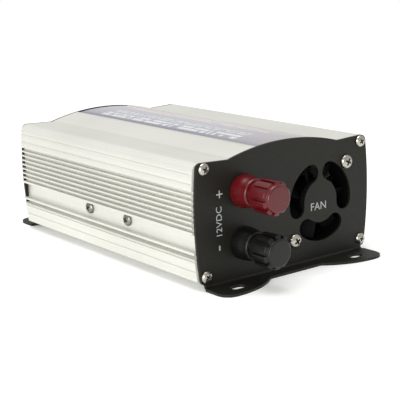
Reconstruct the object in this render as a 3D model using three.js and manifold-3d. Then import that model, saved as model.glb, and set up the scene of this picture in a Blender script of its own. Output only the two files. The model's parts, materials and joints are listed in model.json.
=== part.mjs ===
// Power inverter: 12 V battery terminals and a cooling fan on the front plate, a mains outlet, a
// rocker switch, two lamps and vents on the rear plate, and a finned aluminium case between them.
// Millimetres. X is to the right seen from the front, Y runs from the front plate to the rear one,
// Z is up. The origin is at the middle of the overall box, on the surface that the feet stand on.

import * as THREE from 'three';
import * as BufferGeometryUtils from 'three/addons/utils/BufferGeometryUtils.js';
import Module from 'manifold-3d';

const wasm = await Module();
wasm.setup();

// ---------------------------------------------------------------- driving dimensions

// Fits
const seatGap = 0.05;             // between two pieces that are clamped face to face
const slipGap = 0.1;              // round a shank, spigot or shaft in its hole
const slideGap = 0.15;            // round a board or plate in its rails

// Case
const bodyLength = 152;           // over the outer faces of the end plates
const bodyHalfWidth = 51.8;       // at the widest line of the side walls
const widestHeight = 28;          // of that line above the case's bottom edge
const sideRadius = 180;           // of the side walls' slight belly
const shoulderHeight = 51.6;      // at the outer top edges
const shoulderDip = 0.6;          // fall of the shoulders towards the crown
const cornerRadius = 4;           // of the shell between shoulder and side
const crownHalfWidth = 32;
const crownRise = 4.6;
const roofThickness = 2.2;
const wallThickness = 2.4;
const finDepth = 3.2;             // from the widest line to the screw band
const finFloorRise = 0.9;         // of the floors between the fins, above the screw band
const footDrop = 4;               // from the case's bottom edge to the ground

// Fins on the side walls, heights above the case's bottom edge
const finPitch = 2.3;
const finGroove = 1.5;
const finCount = 8;
const lowestFinGroove = 22.9;
const screwBand = { low: 13.2, high: 21 };
const lowGroove = { low: 10.4, high: 12 };
const fineGrooves = [
  { height: 4.6, width: 0.5, depth: 0.3 },
  { height: 9.2, width: 0.8, depth: 0.6 },
  { height: 43, width: 0.5, depth: 0.25 },
  { height: 47, width: 0.5, depth: 0.25 },
];

// Label and its recess on the crown
const labelHalfWidth = 16;
const labelRecess = 0.6;
const labelThickness = 0.3;
const labelEndGap = 1;            // of the label from each end of the shell

// End plates and feet
const plateThickness = 1.2;
const plateInset = 1.1;           // of the plate's sides from the case's
const plateDrop = 1.6;            // of the plate's lower edge below the case
const plateTopCorner = 2.8;
const plateCorner = 2.2;
const bendRadius = 1;             // inside the bend from plate to foot
const neckInset = 3.2;            // of the neck from the case's lower edge
const earStep = 0.8;              // of the ears beyond the neck
const earReach = 15.4;            // of the ears in front of their plate
const earCorner = 7;
const webReach = 6.3;             // of the foot between the two ears
const webHalfWidth = 15;
const footSlot = { inset: 12.2, y: 7.9, length: 7.6, width: 4.8 };

// Corner, fan and side screws
const screwRadius = 1.35;
const cornerHeadRadius = 2.75;
const cornerScrewLength = 9;
const cornerScrewInset = 4.9;     // of the screw's axis from the side wall
const cornerScrewTop = 2.8;       // of its axis below the shoulder
const cornerScrewBottom = 2;      // of its axis above the bottom edge
const portWall = 1.7;             // round the upper screw holes
const lowerPortWall = 2.45;       // beside the lower screw holes, with the base plate's slot in it
const baseWeb = 0.85;             // between that slot and the lower screw holes
const fanScrewRadius = 1.6;
const fanHeadRadius = 3.35;
const sideHeadRadius = 3;
const panHead = { height: 0.62, crown: 0.66, arm: 0.55, slot: 0.13 };   // shares of its radius
const recessShare = 0.6;          // of the head's height that the cross recess takes
const sideScrewPlaces = [54.8, 87.8];
const sideScrewHeight = 17.9;

// Base plate, circuit board and their rails
const baseThickness = 2;
const baseRibs = [-30, -10, 10, 30];
const baseRib = { depth: 0.8, root: 1, tip: 0.6 };   // root and tip are half widths
const baseHeight = 1.5;           // of its underside above the case's bottom edge
const railReach = 1.6;
const railThickness = 1.65;
const boardThickness = 1.6;
const boardHeight = 7.5;
const boardFront = 18;            // from the front plate's outer face
const boardRearGap = 4;           // from the board to the outlet

// Battery terminals
const terminalX = -24.8;
const positiveHeight = 36.6;
const negativeHeight = 13.3;
const studRadius = 2.5;
const studInner = 11;             // reach behind the front plate's outer face
const collarRadius = 7.4;
const collarLength = 9.6;
const collarTip = 6.2;
const spigotRadius = 5;
const studFlange = { radius: 4.25, thickness: 1.3 };
const washer = { radius: 5.4, thickness: 0.7 };
const capLength = 13.85;
const capCore = 6.2;
const capRibRadius = 7.5;
const capRibWidth = 2.9;
const capRibs = 10;
const capTipWall = 2.3;           // solid end of the cap
const bushRadius = 7.2;
const bushThickness = 2;
const lugThickness = 1;
const lugRadius = 4.6;
const lugTail = { reach: 9, halfWidth: 1.8 };
const padInset = 6;               // of the wires' pads from the board's front edge
const nutFlats = 8;
const nutThickness = 4;
const leadRadius = 1.7;

// Fan
const fanX = 20.8;
const fanHeight = 24.4;
const fanSize = 40;
const fanThickness = 10.4;
const fanHoleInset = 4;           // of the fan's fixing holes from its edges
const fanRim = 1.1;               // thinnest part of the frame's rim
const tipGap = 0.7;
const bladeCount = 7;
const bladePitch = 38;            // degrees from the plane of rotation
const bladeChord = 7.6;
const bladeThickness = 0.9;
const hubRadius = 9.8;
const hubWall = 1.2;
const fanShaftRadius = 1;
const bearingRadius = 3;
const bearingWall = 0.9;
const bearingSetback = 3.4;       // of the bearing's tube from the frame's front
const rotorSetback = 0.8;         // of the rotor from the frame's front
const motorPlateThickness = 1.2;
const strutAngles = [20, 140, 260];
const frameCorner = 2.6;
const statorRadius = 5.6;
const grilleEdge = 0.1;           // of the plate inside the fan's bore
const hubCover = 0.2;             // of the grille's middle beyond the hub
const grilleSpan = 110;           // degrees of each slot
const grilleMiddles = [30, 150, 270];

// Mains outlet
const outletX = -19.5;
const outletHeight = 25.5;
const recessRadius = 19.8;
const recessWall = 1.5;
const outletLip = 1.2;            // of the square flange beyond the barrel
const outletFlangeThickness = 2;
const outletCorner = 5;           // of the flange
const outletGuide = { reach: 2, halfHeight: 2.4, setback: 4 };
const recessDepth = 17.5;
const outletDepth = 34;           // from the flange's face to the barrel's back
const pinPitch = 19;
const pinHole = 3.1;
const contactWall = 0.6;
const contactDrop = 2.5;          // of the contacts below the recess's floor
const earthStrip = { width: 8, thickness: 0.8 };

// Rocker switch
const switchX = 14;
const switchHeight = 36.5;
const switchBezel = { x: 15, z: 21, thickness: 1.8 };
const switchBody = { x: 12.8, z: 19.2, depth: 17 };
const rockerWidth = 10;
const rockerReach = 8.2;          // half of the rocker's length
const rockTilt = 10;              // degrees each side of level
const pivotRadius = 1;
const pivotSetback = 2.6;         // of the pivot behind the bezel's face
const wellDepth = 6.5;            // behind the pivot

// Lamps and vents on the rear plate
const lampPlaces = { power: 29, fault: 39 };
const lampRadius = 2.5;
const lampFlange = 4;
const vent = { first: 9.5, pitch: 6, count: 6, width: 3, low: 7, high: 22 };

// Transistors held to the side walls, and the bars that clamp them
const transistorThickness = 4.6;
const clampThickness = 3;
const clampBar = { overhang: 7, halfHeight: 4.5 };
const transistor = { halfWidth: 5, height: 9.5, tabHeight: 15.5, tabThickness: 1.3, legPitch: 2.5 };

// Parts on the board, each at a place in plan
const transformer = { at: [-10, 64], halfX: 18, halfY: 7, height: 30, leg: 5, gap: 0.3 };
const choke = { at: [16, 98], centre: 12.5, ring: 8.5, section: 3.9 };
const busCapacitor = { at: [24, 62], radius: 9, height: 31 };
const inputCapacitor = { at: [20, 34], radius: 6.3, height: 25 };
const fuse = { at: [-8, 34], halfLength: 9.6, halfWidth: 2.4, low: 6, high: 17 };

// ---------------------------------------------------------------- derived places

const frontY = 0;
const rearY = bodyLength;
const neckHalfWidth = halfWidthAt(0) - neckInset;
const earHalfWidth = neckHalfWidth + earStep;
const slotX = earHalfWidth - footSlot.inset;
const floorHalfWidth = bodyHalfWidth - finDepth;
const innerHalfWidth = floorHalfWidth - wallThickness;
const crownFoot = shoulderHeight - shoulderDip;
const crownPeak = crownFoot + crownRise;
const crownRadius = (crownHalfWidth ** 2 + crownRise ** 2) / (2 * crownRise);
const crownCentre = crownPeak - crownRadius;
const roofInside = crownFoot - roofThickness;
const cornerTopZ = shoulderHeight - cornerScrewTop;
const cornerX = halfWidthAt(cornerTopZ) - cornerScrewInset;
const screwHole = screwRadius + slipGap;
const footInner = cornerX - screwHole - lowerPortWall;
const baseSlotEnd = cornerX - screwHole - baseWeb;
const boardHalfWidth = innerHalfWidth - slideGap;
const boardTop = boardHeight + boardThickness;
const boardRear = rearY - plateThickness - outletDepth - boardRearGap;
const washerY = frontY - collarLength - seatGap;
const capBack = washerY - washer.thickness - seatGap;
const capFront = capBack - capLength;
const bushY = frontY + plateThickness + seatGap;
const lugY = bushY + bushThickness + seatGap;
const nutY = lugY + lugThickness + seatGap;
const fanFrontY = frontY + plateThickness + seatGap;
const fanRearY = fanFrontY + fanThickness;
const fanHolePitch = fanSize - 2 * fanHoleInset;
const fanBore = fanSize / 2 - fanRim;
const bladeTip = fanBore - tipGap;
const grilleOuter = fanBore - grilleEdge;
const grilleInner = hubRadius + hubCover;
const outletBarrel = recessRadius + recessWall;
const outletFlange = outletBarrel + outletLip;
const outletFace = rearY + seatGap + outletFlangeThickness;
const switchFace = rearY + seatGap + switchBezel.thickness;
const pivotY = switchFace - pivotSetback;
const middleY = (capFront + rearY + earReach) / 2;

/** Half width of the case at a height above its bottom edge. */
function halfWidthAt(height) {
  return bodyHalfWidth - (height - widestHeight) ** 2 / (2 * sideRadius);
}

// ---------------------------------------------------------------- materials

function finish(color, roughness, metalness) {
  return new THREE.MeshStandardMaterial({ color, roughness, metalness });
}

const anodised = finish(0xd9dad3, 0.38, 0.75);
const plateBlack = finish(0x252523, 0.55, 0.2);
const nickel = finish(0xc6c5bb, 0.28, 0.9);
const brass = finish(0xb8975a, 0.35, 0.9);
const copper = finish(0xb87350, 0.4, 0.9);
const redPlastic = finish(0x8e1c2a, 0.35, 0);
const blackPlastic = finish(0x161615, 0.45, 0);
const steel = finish(0x9a9b9c, 0.35, 0.9);
const labelFilm = finish(0xb9b9cc, 0.4, 0);
const laminate = finish(0x2f6b3a, 0.5, 0);
const ferrite = finish(0x3a3a3c, 0.7, 0.1);
const tape = finish(0xd8b64a, 0.5, 0);
const sleeve = finish(0x2b2f4a, 0.4, 0);
const fuseBody = finish(0xc8641e, 0.35, 0);
const greenLens = finish(0x3fae55, 0.2, 0);
const redLens = finish(0xb3201f, 0.2, 0);

// ---------------------------------------------------------------- shapes and solids

const inverter = new THREE.Group();
inverter.position.set(0, -middleY, footDrop);

function add(name, geometry, material, place = [0, 0, 0], turn = [0, 0, 0]) {
  const mesh = new THREE.Mesh(geometry, material);
  mesh.name = name;
  mesh.position.set(...place);
  mesh.rotation.set(...turn);
  inverter.add(mesh);
  return mesh;
}

/** Points of an arc, angles in radians. */
function arc(x, y, radius, from, to, steps) {
  const points = [];
  for (let i = 0; i <= steps; i += 1) {
    const angle = from + ((to - from) * i) / steps;
    points.push(new THREE.Vector2(x + radius * Math.cos(angle), y + radius * Math.sin(angle)));
  }
  return points;
}

function circle(x, y, radius, steps = 12) {
  return new THREE.Path(arc(x, y, radius, 0, -2 * Math.PI, steps).slice(0, -1));
}

function outline(...pairs) {
  return pairs.map(([x, y]) => new THREE.Vector2(x, y));
}

/** A half outline, run from its foot to its top on the +X side, closed with its mirror image. */
function mirrored(half) {
  const other = half.map((p) => new THREE.Vector2(-p.x, p.y)).reverse();
  return half.concat(other[0].x === 0 ? other.slice(1) : other);
}

function roundedRectangle(x, y, halfX, halfY, radius) {
  const quarter = Math.PI / 2;
  const points = [];
  const signs = [[1, 1], [-1, 1], [-1, -1], [1, -1]];
  signs.forEach(([sx, sy], i) => {
    const centreX = x + sx * (halfX - radius);
    const centreY = y + sy * (halfY - radius);
    points.push(...arc(centreX, centreY, radius, i * quarter, (i + 1) * quarter, 5));
  });
  return points;
}

function shapeOf(points, holes = []) {
  const shape = new THREE.Shape(points);
  holes.forEach((hole) => shape.holes.push(hole));
  return shape;
}

/** An outline in X and Z, extruded from one Y to another. */
function alongY(shape, from, to) {
  const geometry = new THREE.ExtrudeGeometry(shape, { depth: to - from, bevelEnabled: false });
  return geometry.rotateX(Math.PI / 2).translate(0, to, 0);
}

/** An outline in X and Y, extruded from one Z to another. */
function alongZ(shape, from, to) {
  const geometry = new THREE.ExtrudeGeometry(shape, { depth: to - from, bevelEnabled: false });
  return geometry.translate(0, 0, from);
}

/** An outline in Y and Z, extruded from one X to another. */
function alongX(shape, from, to) {
  const geometry = new THREE.ExtrudeGeometry(shape, { depth: to - from, bevelEnabled: false });
  return geometry.rotateX(Math.PI / 2).rotateZ(Math.PI / 2).translate(from, 0, 0);
}

/** A profile of [radius, y] pairs turned about the Y axis. */
function turned(profile, segments) {
  return new THREE.LatheGeometry(outline(...profile), segments);
}

function box(x0, x1, y0, y1, z0, z1) {
  const geometry = new THREE.BoxGeometry(x1 - x0, y1 - y0, z1 - z0);
  return geometry.translate((x0 + x1) / 2, (y0 + y1) / 2, (z0 + z1) / 2);
}

function solidOf(geometry) {
  const bare = geometry.clone();
  bare.deleteAttribute('normal');
  bare.deleteAttribute('uv');
  const merged = BufferGeometryUtils.mergeVertices(bare, 1e-5);
  const vertProperties = new Float32Array(merged.attributes.position.array);
  const triVerts = new Uint32Array(merged.index.array);
  return new wasm.Manifold(new wasm.Mesh({ numProp: 3, vertProperties, triVerts }));
}

function geometryOf(solid) {
  const mesh = solid.getMesh();
  const geometry = new THREE.BufferGeometry();
  geometry.setAttribute('position', new THREE.BufferAttribute(mesh.vertProperties, 3));
  geometry.setIndex(new THREE.BufferAttribute(mesh.triVerts, 1));
  return geometry;
}

function joined(base, additions) {
  return geometryOf(additions.reduce((sum, g) => sum.add(solidOf(g)), solidOf(base)));
}

function cutFrom(base, tools) {
  return geometryOf(tools.reduce((rest, g) => rest.subtract(solidOf(g)), solidOf(base)));
}

/** A plain cylinder along Y. */
function rodY(x, z, radius, from, to, segments = 20) {
  return alongY(new THREE.Shape(arc(x, z, radius, 0, 2 * Math.PI, segments).slice(0, -1)), from, to);
}

// ---------------------------------------------------------------- case outline

/** The +X edge of an end plate from a foot height to its top corner. */
function plateSide(fromHeight) {
  const top = shoulderHeight - plateTopCorner;
  const steps = 10;
  const points = [];
  for (let i = 0; i <= steps; i += 1) {
    const height = fromHeight + ((top - fromHeight) * i) / steps;
    points.push(new THREE.Vector2(halfWidthAt(height) - plateInset, height));
  }
  return points;
}

/** The top corner, the shoulder and half the crown; recess lowers the middle of the crown. */
function topLine(inset, radius, recess) {
  const cornerCentre = halfWidthAt(shoulderHeight - radius) - inset - radius;
  const corner = arc(cornerCentre, shoulderHeight - radius, radius, 0, Math.PI / 2, 8);
  const footAngle = Math.acos(crownHalfWidth / crownRadius);
  const recessAngle = Math.acos(labelHalfWidth / crownRadius);
  const lowRadius = crownRadius - recess;
  const points = corner.slice(1);
  if (recess === 0) {
    points.push(...arc(0, crownCentre, crownRadius, footAngle, Math.PI / 2, 14));
    return points;
  }
  points.push(...arc(0, crownCentre, crownRadius, footAngle, recessAngle, 7));
  points.push(...arc(0, crownCentre, lowRadius, Math.acos(labelHalfWidth / lowRadius), Math.PI / 2, 7));
  return points;
}

/** Grooves of the side wall from the bottom up: each has its two heights and its floor. */
function sideGrooves() {
  const grooves = fineGrooves.map(({ height, width, depth }) => ({
    low: height - width / 2,
    high: height + width / 2,
    floor: halfWidthAt(height) - depth,
  }));
  grooves.push({ ...lowGroove, floor: floorHalfWidth });
  grooves.push({ ...screwBand, floor: floorHalfWidth });
  for (let i = 0; i < finCount; i += 1) {
    const height = lowestFinGroove + i * finPitch;
    const floor = floorHalfWidth + finFloorRise;
    grooves.push({ low: height - finGroove / 2, high: height + finGroove / 2, floor });
  }
  return grooves.sort((a, b) => a.low - b.low);
}

// ---------------------------------------------------------------- housing and base

function housingHalfOutline() {
  const railInner = innerHalfWidth - railReach;
  const slotLow = boardHeight - slideGap;
  const slotHigh = boardTop + slideGap;
  const points = outline(
    [footInner, 0],
    [halfWidthAt(0), 0],
  );
  sideGrooves().forEach(({ low, high, floor }) => {
    points.push(...outline([halfWidthAt(low), low], [floor, low], [floor, high], [halfWidthAt(high), high]));
  });
  points.push(new THREE.Vector2(halfWidthAt(shoulderHeight - cornerRadius), shoulderHeight - cornerRadius));
  points.push(...topLine(0, cornerRadius, labelRecess));

  // Back down the inside: underside of the crown, screw port, wall, board rails, base plate slot
  const insideRadius = crownRadius - roofThickness;
  const insideFoot = Math.asin((roofInside - crownCentre) / insideRadius);
  const portInner = cornerX - screwHole - portWall;
  const portLow = cornerTopZ - screwHole - portWall;
  const inside = [
    ...arc(0, crownCentre, insideRadius, Math.PI / 2, insideFoot, 12),
    ...outline(
      [portInner, roofInside],
      [portInner, portLow + 1],
      [portInner + 1, portLow],
      [innerHalfWidth, portLow],
      [innerHalfWidth, slotHigh + railThickness],
      [railInner, slotHigh + railThickness],
      [railInner, slotHigh],
      [innerHalfWidth, slotHigh],
      [innerHalfWidth, slotLow],
      [railInner, slotLow],
      [railInner, baseHeight + baseThickness + railThickness],
      [footInner, baseHeight + baseThickness + railThickness],
      [footInner, baseHeight + baseThickness + slideGap],
      [baseSlotEnd, baseHeight + baseThickness + slideGap],
      [baseSlotEnd, baseHeight - slideGap],
      [footInner, baseHeight - slideGap],
    ),
  ];
  return { outside: points, inside };
}

function makeHousing() {
  const from = frontY + plateThickness + seatGap;
  const to = rearY - plateThickness - seatGap;
  const { outside, inside } = housingHalfOutline();
  const mirror = (list) => list.map((p) => new THREE.Vector2(-p.x, p.y)).reverse();
  const holes = [-cornerX, cornerX].flatMap((x) => [
    circle(x, cornerTopZ, screwHole),
    circle(x, cornerScrewBottom, screwHole),
  ]);
  const points = [...outside, ...mirror(outside).slice(1), ...mirror(inside), ...inside.slice(1)];
  const section = shapeOf(points, holes);
  const wallHoles = sideScrewPlaces.flatMap((y) => [-1, 1].map((side) => {
    const tool = rodY(0, 0, screwHole, 0, bodyHalfWidth, 12);
    return tool.rotateZ(-side * Math.PI / 2).translate(0, y, sideScrewHeight);
  }));
  add('housing_shell', cutFrom(alongY(section, from, to), wallHoles), anodised);

  const baseEdge = baseSlotEnd - slideGap;
  const top = baseHeight + baseThickness;
  const ribFoot = baseHeight - baseRib.depth;
  const underside = baseRibs.flatMap((x) => [
    [x - baseRib.root, baseHeight], [x - baseRib.tip, ribFoot],
    [x + baseRib.tip, ribFoot], [x + baseRib.root, baseHeight],
  ]);
  const basePoints = outline([-baseEdge, baseHeight], ...underside, [baseEdge, baseHeight],
    [baseEdge, top], [-baseEdge, top]);
  add('base_plate', alongY(shapeOf(basePoints), from, to), anodised);

  const labelLow = crownRadius - labelRecess + seatGap;
  const labelHalfAngle = Math.asin((labelHalfWidth - slipGap) / labelLow);
  const labelFrom = Math.PI / 2 - labelHalfAngle;
  const labelTo = Math.PI / 2 + labelHalfAngle;
  const labelPoints = [
    ...arc(0, crownCentre, labelLow, labelTo, labelFrom, 14),
    ...arc(0, crownCentre, labelLow + labelThickness, labelFrom, labelTo, 14),
  ];
  add('top_label', alongY(shapeOf(labelPoints), from + labelEndGap, to - labelEndGap),
    labelFilm);
}

// ---------------------------------------------------------------- end plates

/** Plan of one ear and half the web, on the +X side, as distances from the plate's outer face. */
function footPlan() {
  const tipX = earHalfWidth - earCorner;
  const sweep = tipX - webHalfWidth;
  const shape = new THREE.Shape();
  shape.moveTo(0, 0);
  shape.lineTo(earHalfWidth, 0);
  shape.lineTo(earHalfWidth, earReach - earCorner);
  shape.quadraticCurveTo(earHalfWidth, earReach, tipX, earReach);
  shape.bezierCurveTo(tipX - sweep * 0.42, earReach, tipX - sweep * 0.75, earReach * 0.76,
    webHalfWidth, webReach);
  shape.lineTo(0, webReach);
  return shape.getPoints(8).slice(0, -1);
}

/** One sheet: plate, bend and foot, with the foot towards -Y and the plate's outer face at Y 0. */
function bentPlate(holes) {
  const bendTop = plateThickness + bendRadius - footDrop;
  const upper = mirrored([
    new THREE.Vector2(neckHalfWidth, bendTop - 0.01),
    new THREE.Vector2(neckHalfWidth, -plateDrop),
    ...arc(halfWidthAt(plateCorner - plateDrop) - plateInset - plateCorner, plateCorner - plateDrop,
      plateCorner, -Math.PI / 2, 0, 6),
    ...plateSide(plateCorner),
    ...topLine(plateInset, plateTopCorner, 0),
  ]);
  const plate = alongY(shapeOf(upper, holes), 0, plateThickness);

  const bendCentre = [-bendRadius, bendTop];
  const outerBend = bendRadius + plateThickness;
  const bend = shapeOf([
    ...arc(...bendCentre, outerBend, 0, -Math.PI / 2, 6),
    ...arc(...bendCentre, bendRadius, -Math.PI / 2, 0, 6),
  ]);

  const flat = footPlan().map((p) => new THREE.Vector2(p.x, -Math.max(p.y, bendRadius - 0.01)));
  const plan = flat.reverse();
  const whole = plan.concat(plan.map((p) => new THREE.Vector2(-p.x, p.y)).reverse());
  const slots = [-slotX, slotX].map((x) => {
    const radius = footSlot.width / 2;
    const half = footSlot.length / 2 - radius;
    return new THREE.Path([
      ...arc(x + half, -footSlot.y, radius, Math.PI / 2, -Math.PI / 2, 8),
      ...arc(x - half, -footSlot.y, radius, -Math.PI / 2, -Math.PI * 1.5, 8),
    ]);
  });
  const foot = alongZ(shapeOf(whole, slots), -footDrop, plateThickness - footDrop);
  return joined(plate, [alongX(bend, -neckHalfWidth, neckHalfWidth), foot]);
}

function cornerHoles() {
  return [-cornerX, cornerX].flatMap((x) => [
    circle(x, cornerTopZ, screwHole),
    circle(x, cornerScrewBottom, screwHole),
  ]);
}

/** One of the grille's slots: a ring sector with round ends. */
function grilleSlot(middle) {
  const radius = (grilleOuter - grilleInner) / 2;
  const centreline = (grilleOuter + grilleInner) / 2;
  const endAngle = Math.asin(radius / centreline);
  const half = THREE.MathUtils.degToRad(grilleSpan / 2) - endAngle;
  const from = middle - half;
  const to = middle + half;
  const endAt = (angle) => [fanX + centreline * Math.cos(angle), fanHeight + centreline * Math.sin(angle)];
  return new THREE.Path([
    ...arc(fanX, fanHeight, grilleOuter, from, to, 10),
    ...arc(...endAt(to), radius, to, to + Math.PI, 7).slice(1),
    ...arc(fanX, fanHeight, grilleInner, to, from, 8).slice(1),
    ...arc(...endAt(from), radius, from + Math.PI, from + 2 * Math.PI, 7).slice(1, -1),
  ].reverse());
}

function makeFrontPlate() {
  const half = fanHolePitch / 2;
  const holes = [
    ...cornerHoles(),
    ...grilleMiddles.map((degrees) => grilleSlot(THREE.MathUtils.degToRad(degrees))),
    circle(fanX + half, fanHeight + half, fanScrewRadius + slipGap),
    circle(fanX - half, fanHeight - half, fanScrewRadius + slipGap),
    circle(terminalX, positiveHeight, spigotRadius + slipGap, 20),
    circle(terminalX, negativeHeight, spigotRadius + slipGap, 20),
  ];
  add('front_plate', bentPlate(holes), plateBlack);
}

function makeRearPlate() {
  // The sheet is made facing the front and turned about Z, so its cut-outs are drawn mirrored in X
  const holes = [
    ...cornerHoles(),
    circle(-outletX, outletHeight, outletBarrel + slipGap, 32),
    circle(-lampPlaces.power, switchHeight, lampRadius + slipGap, 14),
    circle(-lampPlaces.fault, switchHeight, lampRadius + slipGap, 14),
    new THREE.Path(outline(
      [-switchX - switchBody.x / 2 - slipGap, switchHeight - switchBody.z / 2 - slipGap],
      [-switchX - switchBody.x / 2 - slipGap, switchHeight + switchBody.z / 2 + slipGap],
      [-switchX + switchBody.x / 2 + slipGap, switchHeight + switchBody.z / 2 + slipGap],
      [-switchX + switchBody.x / 2 + slipGap, switchHeight - switchBody.z / 2 - slipGap],
    )),
  ];
  const radius = vent.width / 2;
  for (let i = 0; i < vent.count; i += 1) {
    const x = -(vent.first + i * vent.pitch);
    holes.push(new THREE.Path([
      ...arc(x, vent.high - radius, radius, Math.PI, 0, 6),
      ...arc(x, vent.low + radius, radius, 0, -Math.PI, 6),
    ]));
  }
  add('rear_plate', bentPlate(holes), plateBlack, [0, rearY, 0], [0, 0, Math.PI]);
}

// ---------------------------------------------------------------- screws

/** A cross-recessed pan head screw along Y: its seat at Y 0, its head towards -Y. */
function panScrew(headRadius, shankRadius, length) {
  const head = headRadius * panHead.height;
  const blank = turned([
    [0, -head], [headRadius * panHead.crown, -head * 0.9], [headRadius, -head * 0.35], [headRadius, 0],
    [shankRadius, 0], [shankRadius, length], [0, length],
  ], 12);
  const arm = headRadius * panHead.arm;
  const slot = headRadius * panHead.slot;
  const depth = head * recessShare;
  return cutFrom(blank, [
    box(-arm, arm, -head - 1, depth - head, -slot, slot),
    box(-slot, slot, -head - 1, depth - head, -arm, arm),
  ]);
}

function makeScrews() {
  const seat = seatGap;
  for (const [row, z] of [['upper', cornerTopZ], ['lower', cornerScrewBottom]]) {
    for (const [side, x] of [['left', -cornerX], ['right', cornerX]]) {
      const screw = () => panScrew(cornerHeadRadius, screwRadius, cornerScrewLength);
      add(`front_screw_${row}_${side}`, screw(), nickel, [x, frontY - seat, z]);
      add(`rear_screw_${row}_${side}`, screw(), nickel, [x, rearY + seat, z], [0, 0, Math.PI]);
    }
  }
  const half = fanHolePitch / 2;
  for (const [row, sign] of [['upper', 1], ['lower', -1]]) {
    const screw = panScrew(fanHeadRadius, fanScrewRadius, fanThickness + plateThickness - 1);
    add(`fan_screw_${row}`, screw, nickel, [fanX + sign * half, frontY - seat, fanHeight + sign * half]);
  }
  const reach = floorHalfWidth + seat - (innerHalfWidth - transistorThickness - clampThickness);
  for (const [side, sign] of [['left', -1], ['right', 1]]) {
    sideScrewPlaces.forEach((y, i) => {
      const screw = panScrew(sideHeadRadius, screwRadius, reach);
      const place = [sign * (floorHalfWidth + seat), y, sideScrewHeight];
      add(`side_screw_${side}_${i === 0 ? 'front' : 'rear'}`, screw, nickel, place,
        [0, 0, sign * Math.PI / 2]);
    });
  }
}

// ---------------------------------------------------------------- battery terminals

function makeCollar() {
  const bore = studRadius + slipGap;
  const counterbore = studFlange.radius + slipGap;
  const floor = -(collarLength - studFlange.thickness - seatGap);
  const length = -collarLength;
  return turned([
    [bore, plateThickness - slipGap], [bore, floor], [counterbore, floor], [counterbore, length],
    [collarTip - 0.6, length], [collarTip, length + 0.2], [collarTip + 0.4, length + 0.7],
    [collarTip + 0.85, length * 0.78], [collarRadius - 0.2, length * 0.5],
    [collarRadius, length * 0.22], [collarRadius - 0.05, -0.6], [collarRadius - 0.35, -seatGap],
    [spigotRadius, -seatGap], [spigotRadius, plateThickness - slipGap],
    [bore, plateThickness - slipGap],
  ], 24);
}

function makeStud() {
  const flangeBack = -(collarLength - studFlange.thickness - seatGap) - seatGap;
  const flangeFront = flangeBack - studFlange.thickness;
  const tip = capFront + capTipWall + 2;
  return turned([
    [0, tip], [studRadius, tip], [studRadius, flangeFront],
    [studFlange.radius, flangeFront], [studFlange.radius, flangeBack], [studRadius, flangeBack],
    [studRadius, studInner], [0, studInner],
  ], 16);
}

/** The knurled cap: a turned core with castellated ribs, bored from the back for the stud. */
function makeCap() {
  const bore = studRadius + slipGap;
  const front = capFront;
  const core = turned([
    [bore, capBack], [bore, front + capTipWall], [0, front + capTipWall - 0.6],
    [0, front], [capCore - 1.1, front], [capCore - 0.3, front + 0.3],
    [capCore, front + 1.2], [capCore, capBack - 2.6], [capCore - 0.1, capBack - 0.3],
    [capCore - 0.4, capBack], [bore, capBack],
  ], 30);
  const ribs = [];
  for (let i = 0; i < capRibs; i += 1) {
    const profile = shapeOf(outline(
      [capBack - 2.8, capCore - 0.8], [capBack - 3, capRibRadius - 0.2], [capBack - 3.2, capRibRadius],
      [front + 2.2, capRibRadius], [front + 1.5, capRibRadius - 0.55], [front + 1.2, capCore - 0.8],
    ));
    const rib = alongX(profile, -capRibWidth / 2, capRibWidth / 2);
    ribs.push(rib.rotateY((2 * Math.PI * (i + 0.5)) / capRibs));
  }
  return joined(core, ribs);
}

function ring(outer, inner, from, to, segments = 18) {
  return turned([[inner, from], [outer, from], [outer, to], [inner, to], [inner, from]], segments);
}

function makeNut() {
  const corner = nutFlats / Math.sqrt(3);
  const hexagon = arc(0, 0, corner, 0, 2 * Math.PI, 6).slice(0, -1);
  return alongY(shapeOf(hexagon, [circle(0, 0, studRadius + slipGap)]), 0, nutThickness);
}

/** A round wire along a route of [x, y, z] points. */
function wire(points, radius, steps) {
  const route = new THREE.CatmullRomCurve3(points.map((p) => new THREE.Vector3(...p)));
  const section = new THREE.Shape(arc(0, 0, radius, 0, 2 * Math.PI, 8).slice(0, -1));
  return new THREE.ExtrudeGeometry(section, { steps, bevelEnabled: false, extrudePath: route });
}

/** Ring lug on the stud with its wire down to the board; side is the tail's direction in X and Z. */
function makeLead(height, tail, padX) {
  const [dx, dz] = tail;
  const lug = alongY(shapeOf(
    arc(0, 0, lugRadius, 0, 2 * Math.PI, 18).slice(0, -1),
    [circle(0, 0, studRadius + slipGap)],
  ), 0, lugThickness);
  const strip = box(lugRadius - 1.2, lugTail.reach, 0, lugThickness, -lugTail.halfWidth,
    lugTail.halfWidth).rotateY(-Math.atan2(dz, dx));
  const crimp = lugTail.reach - 2;
  const start = [dx * crimp, lugThickness + 0.2, dz * crimp];
  const padY = boardFront + padInset - lugY;
  const padZ = boardTop + slipGap - height;
  const midX = (start[0] + padX) / 2;
  const route = [
    start,
    [start[0] + dx * 2, start[1] + 2.5, start[2] + dz * 2],
    [midX, (start[1] + padY) / 2, Math.max(start[2] + dz * 4, padZ + 5)],
    [padX, padY, padZ + 4],
    [padX, padY, padZ],
  ];
  return joined(lug, [strip, wire(route, leadRadius, 14)]);
}

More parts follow.
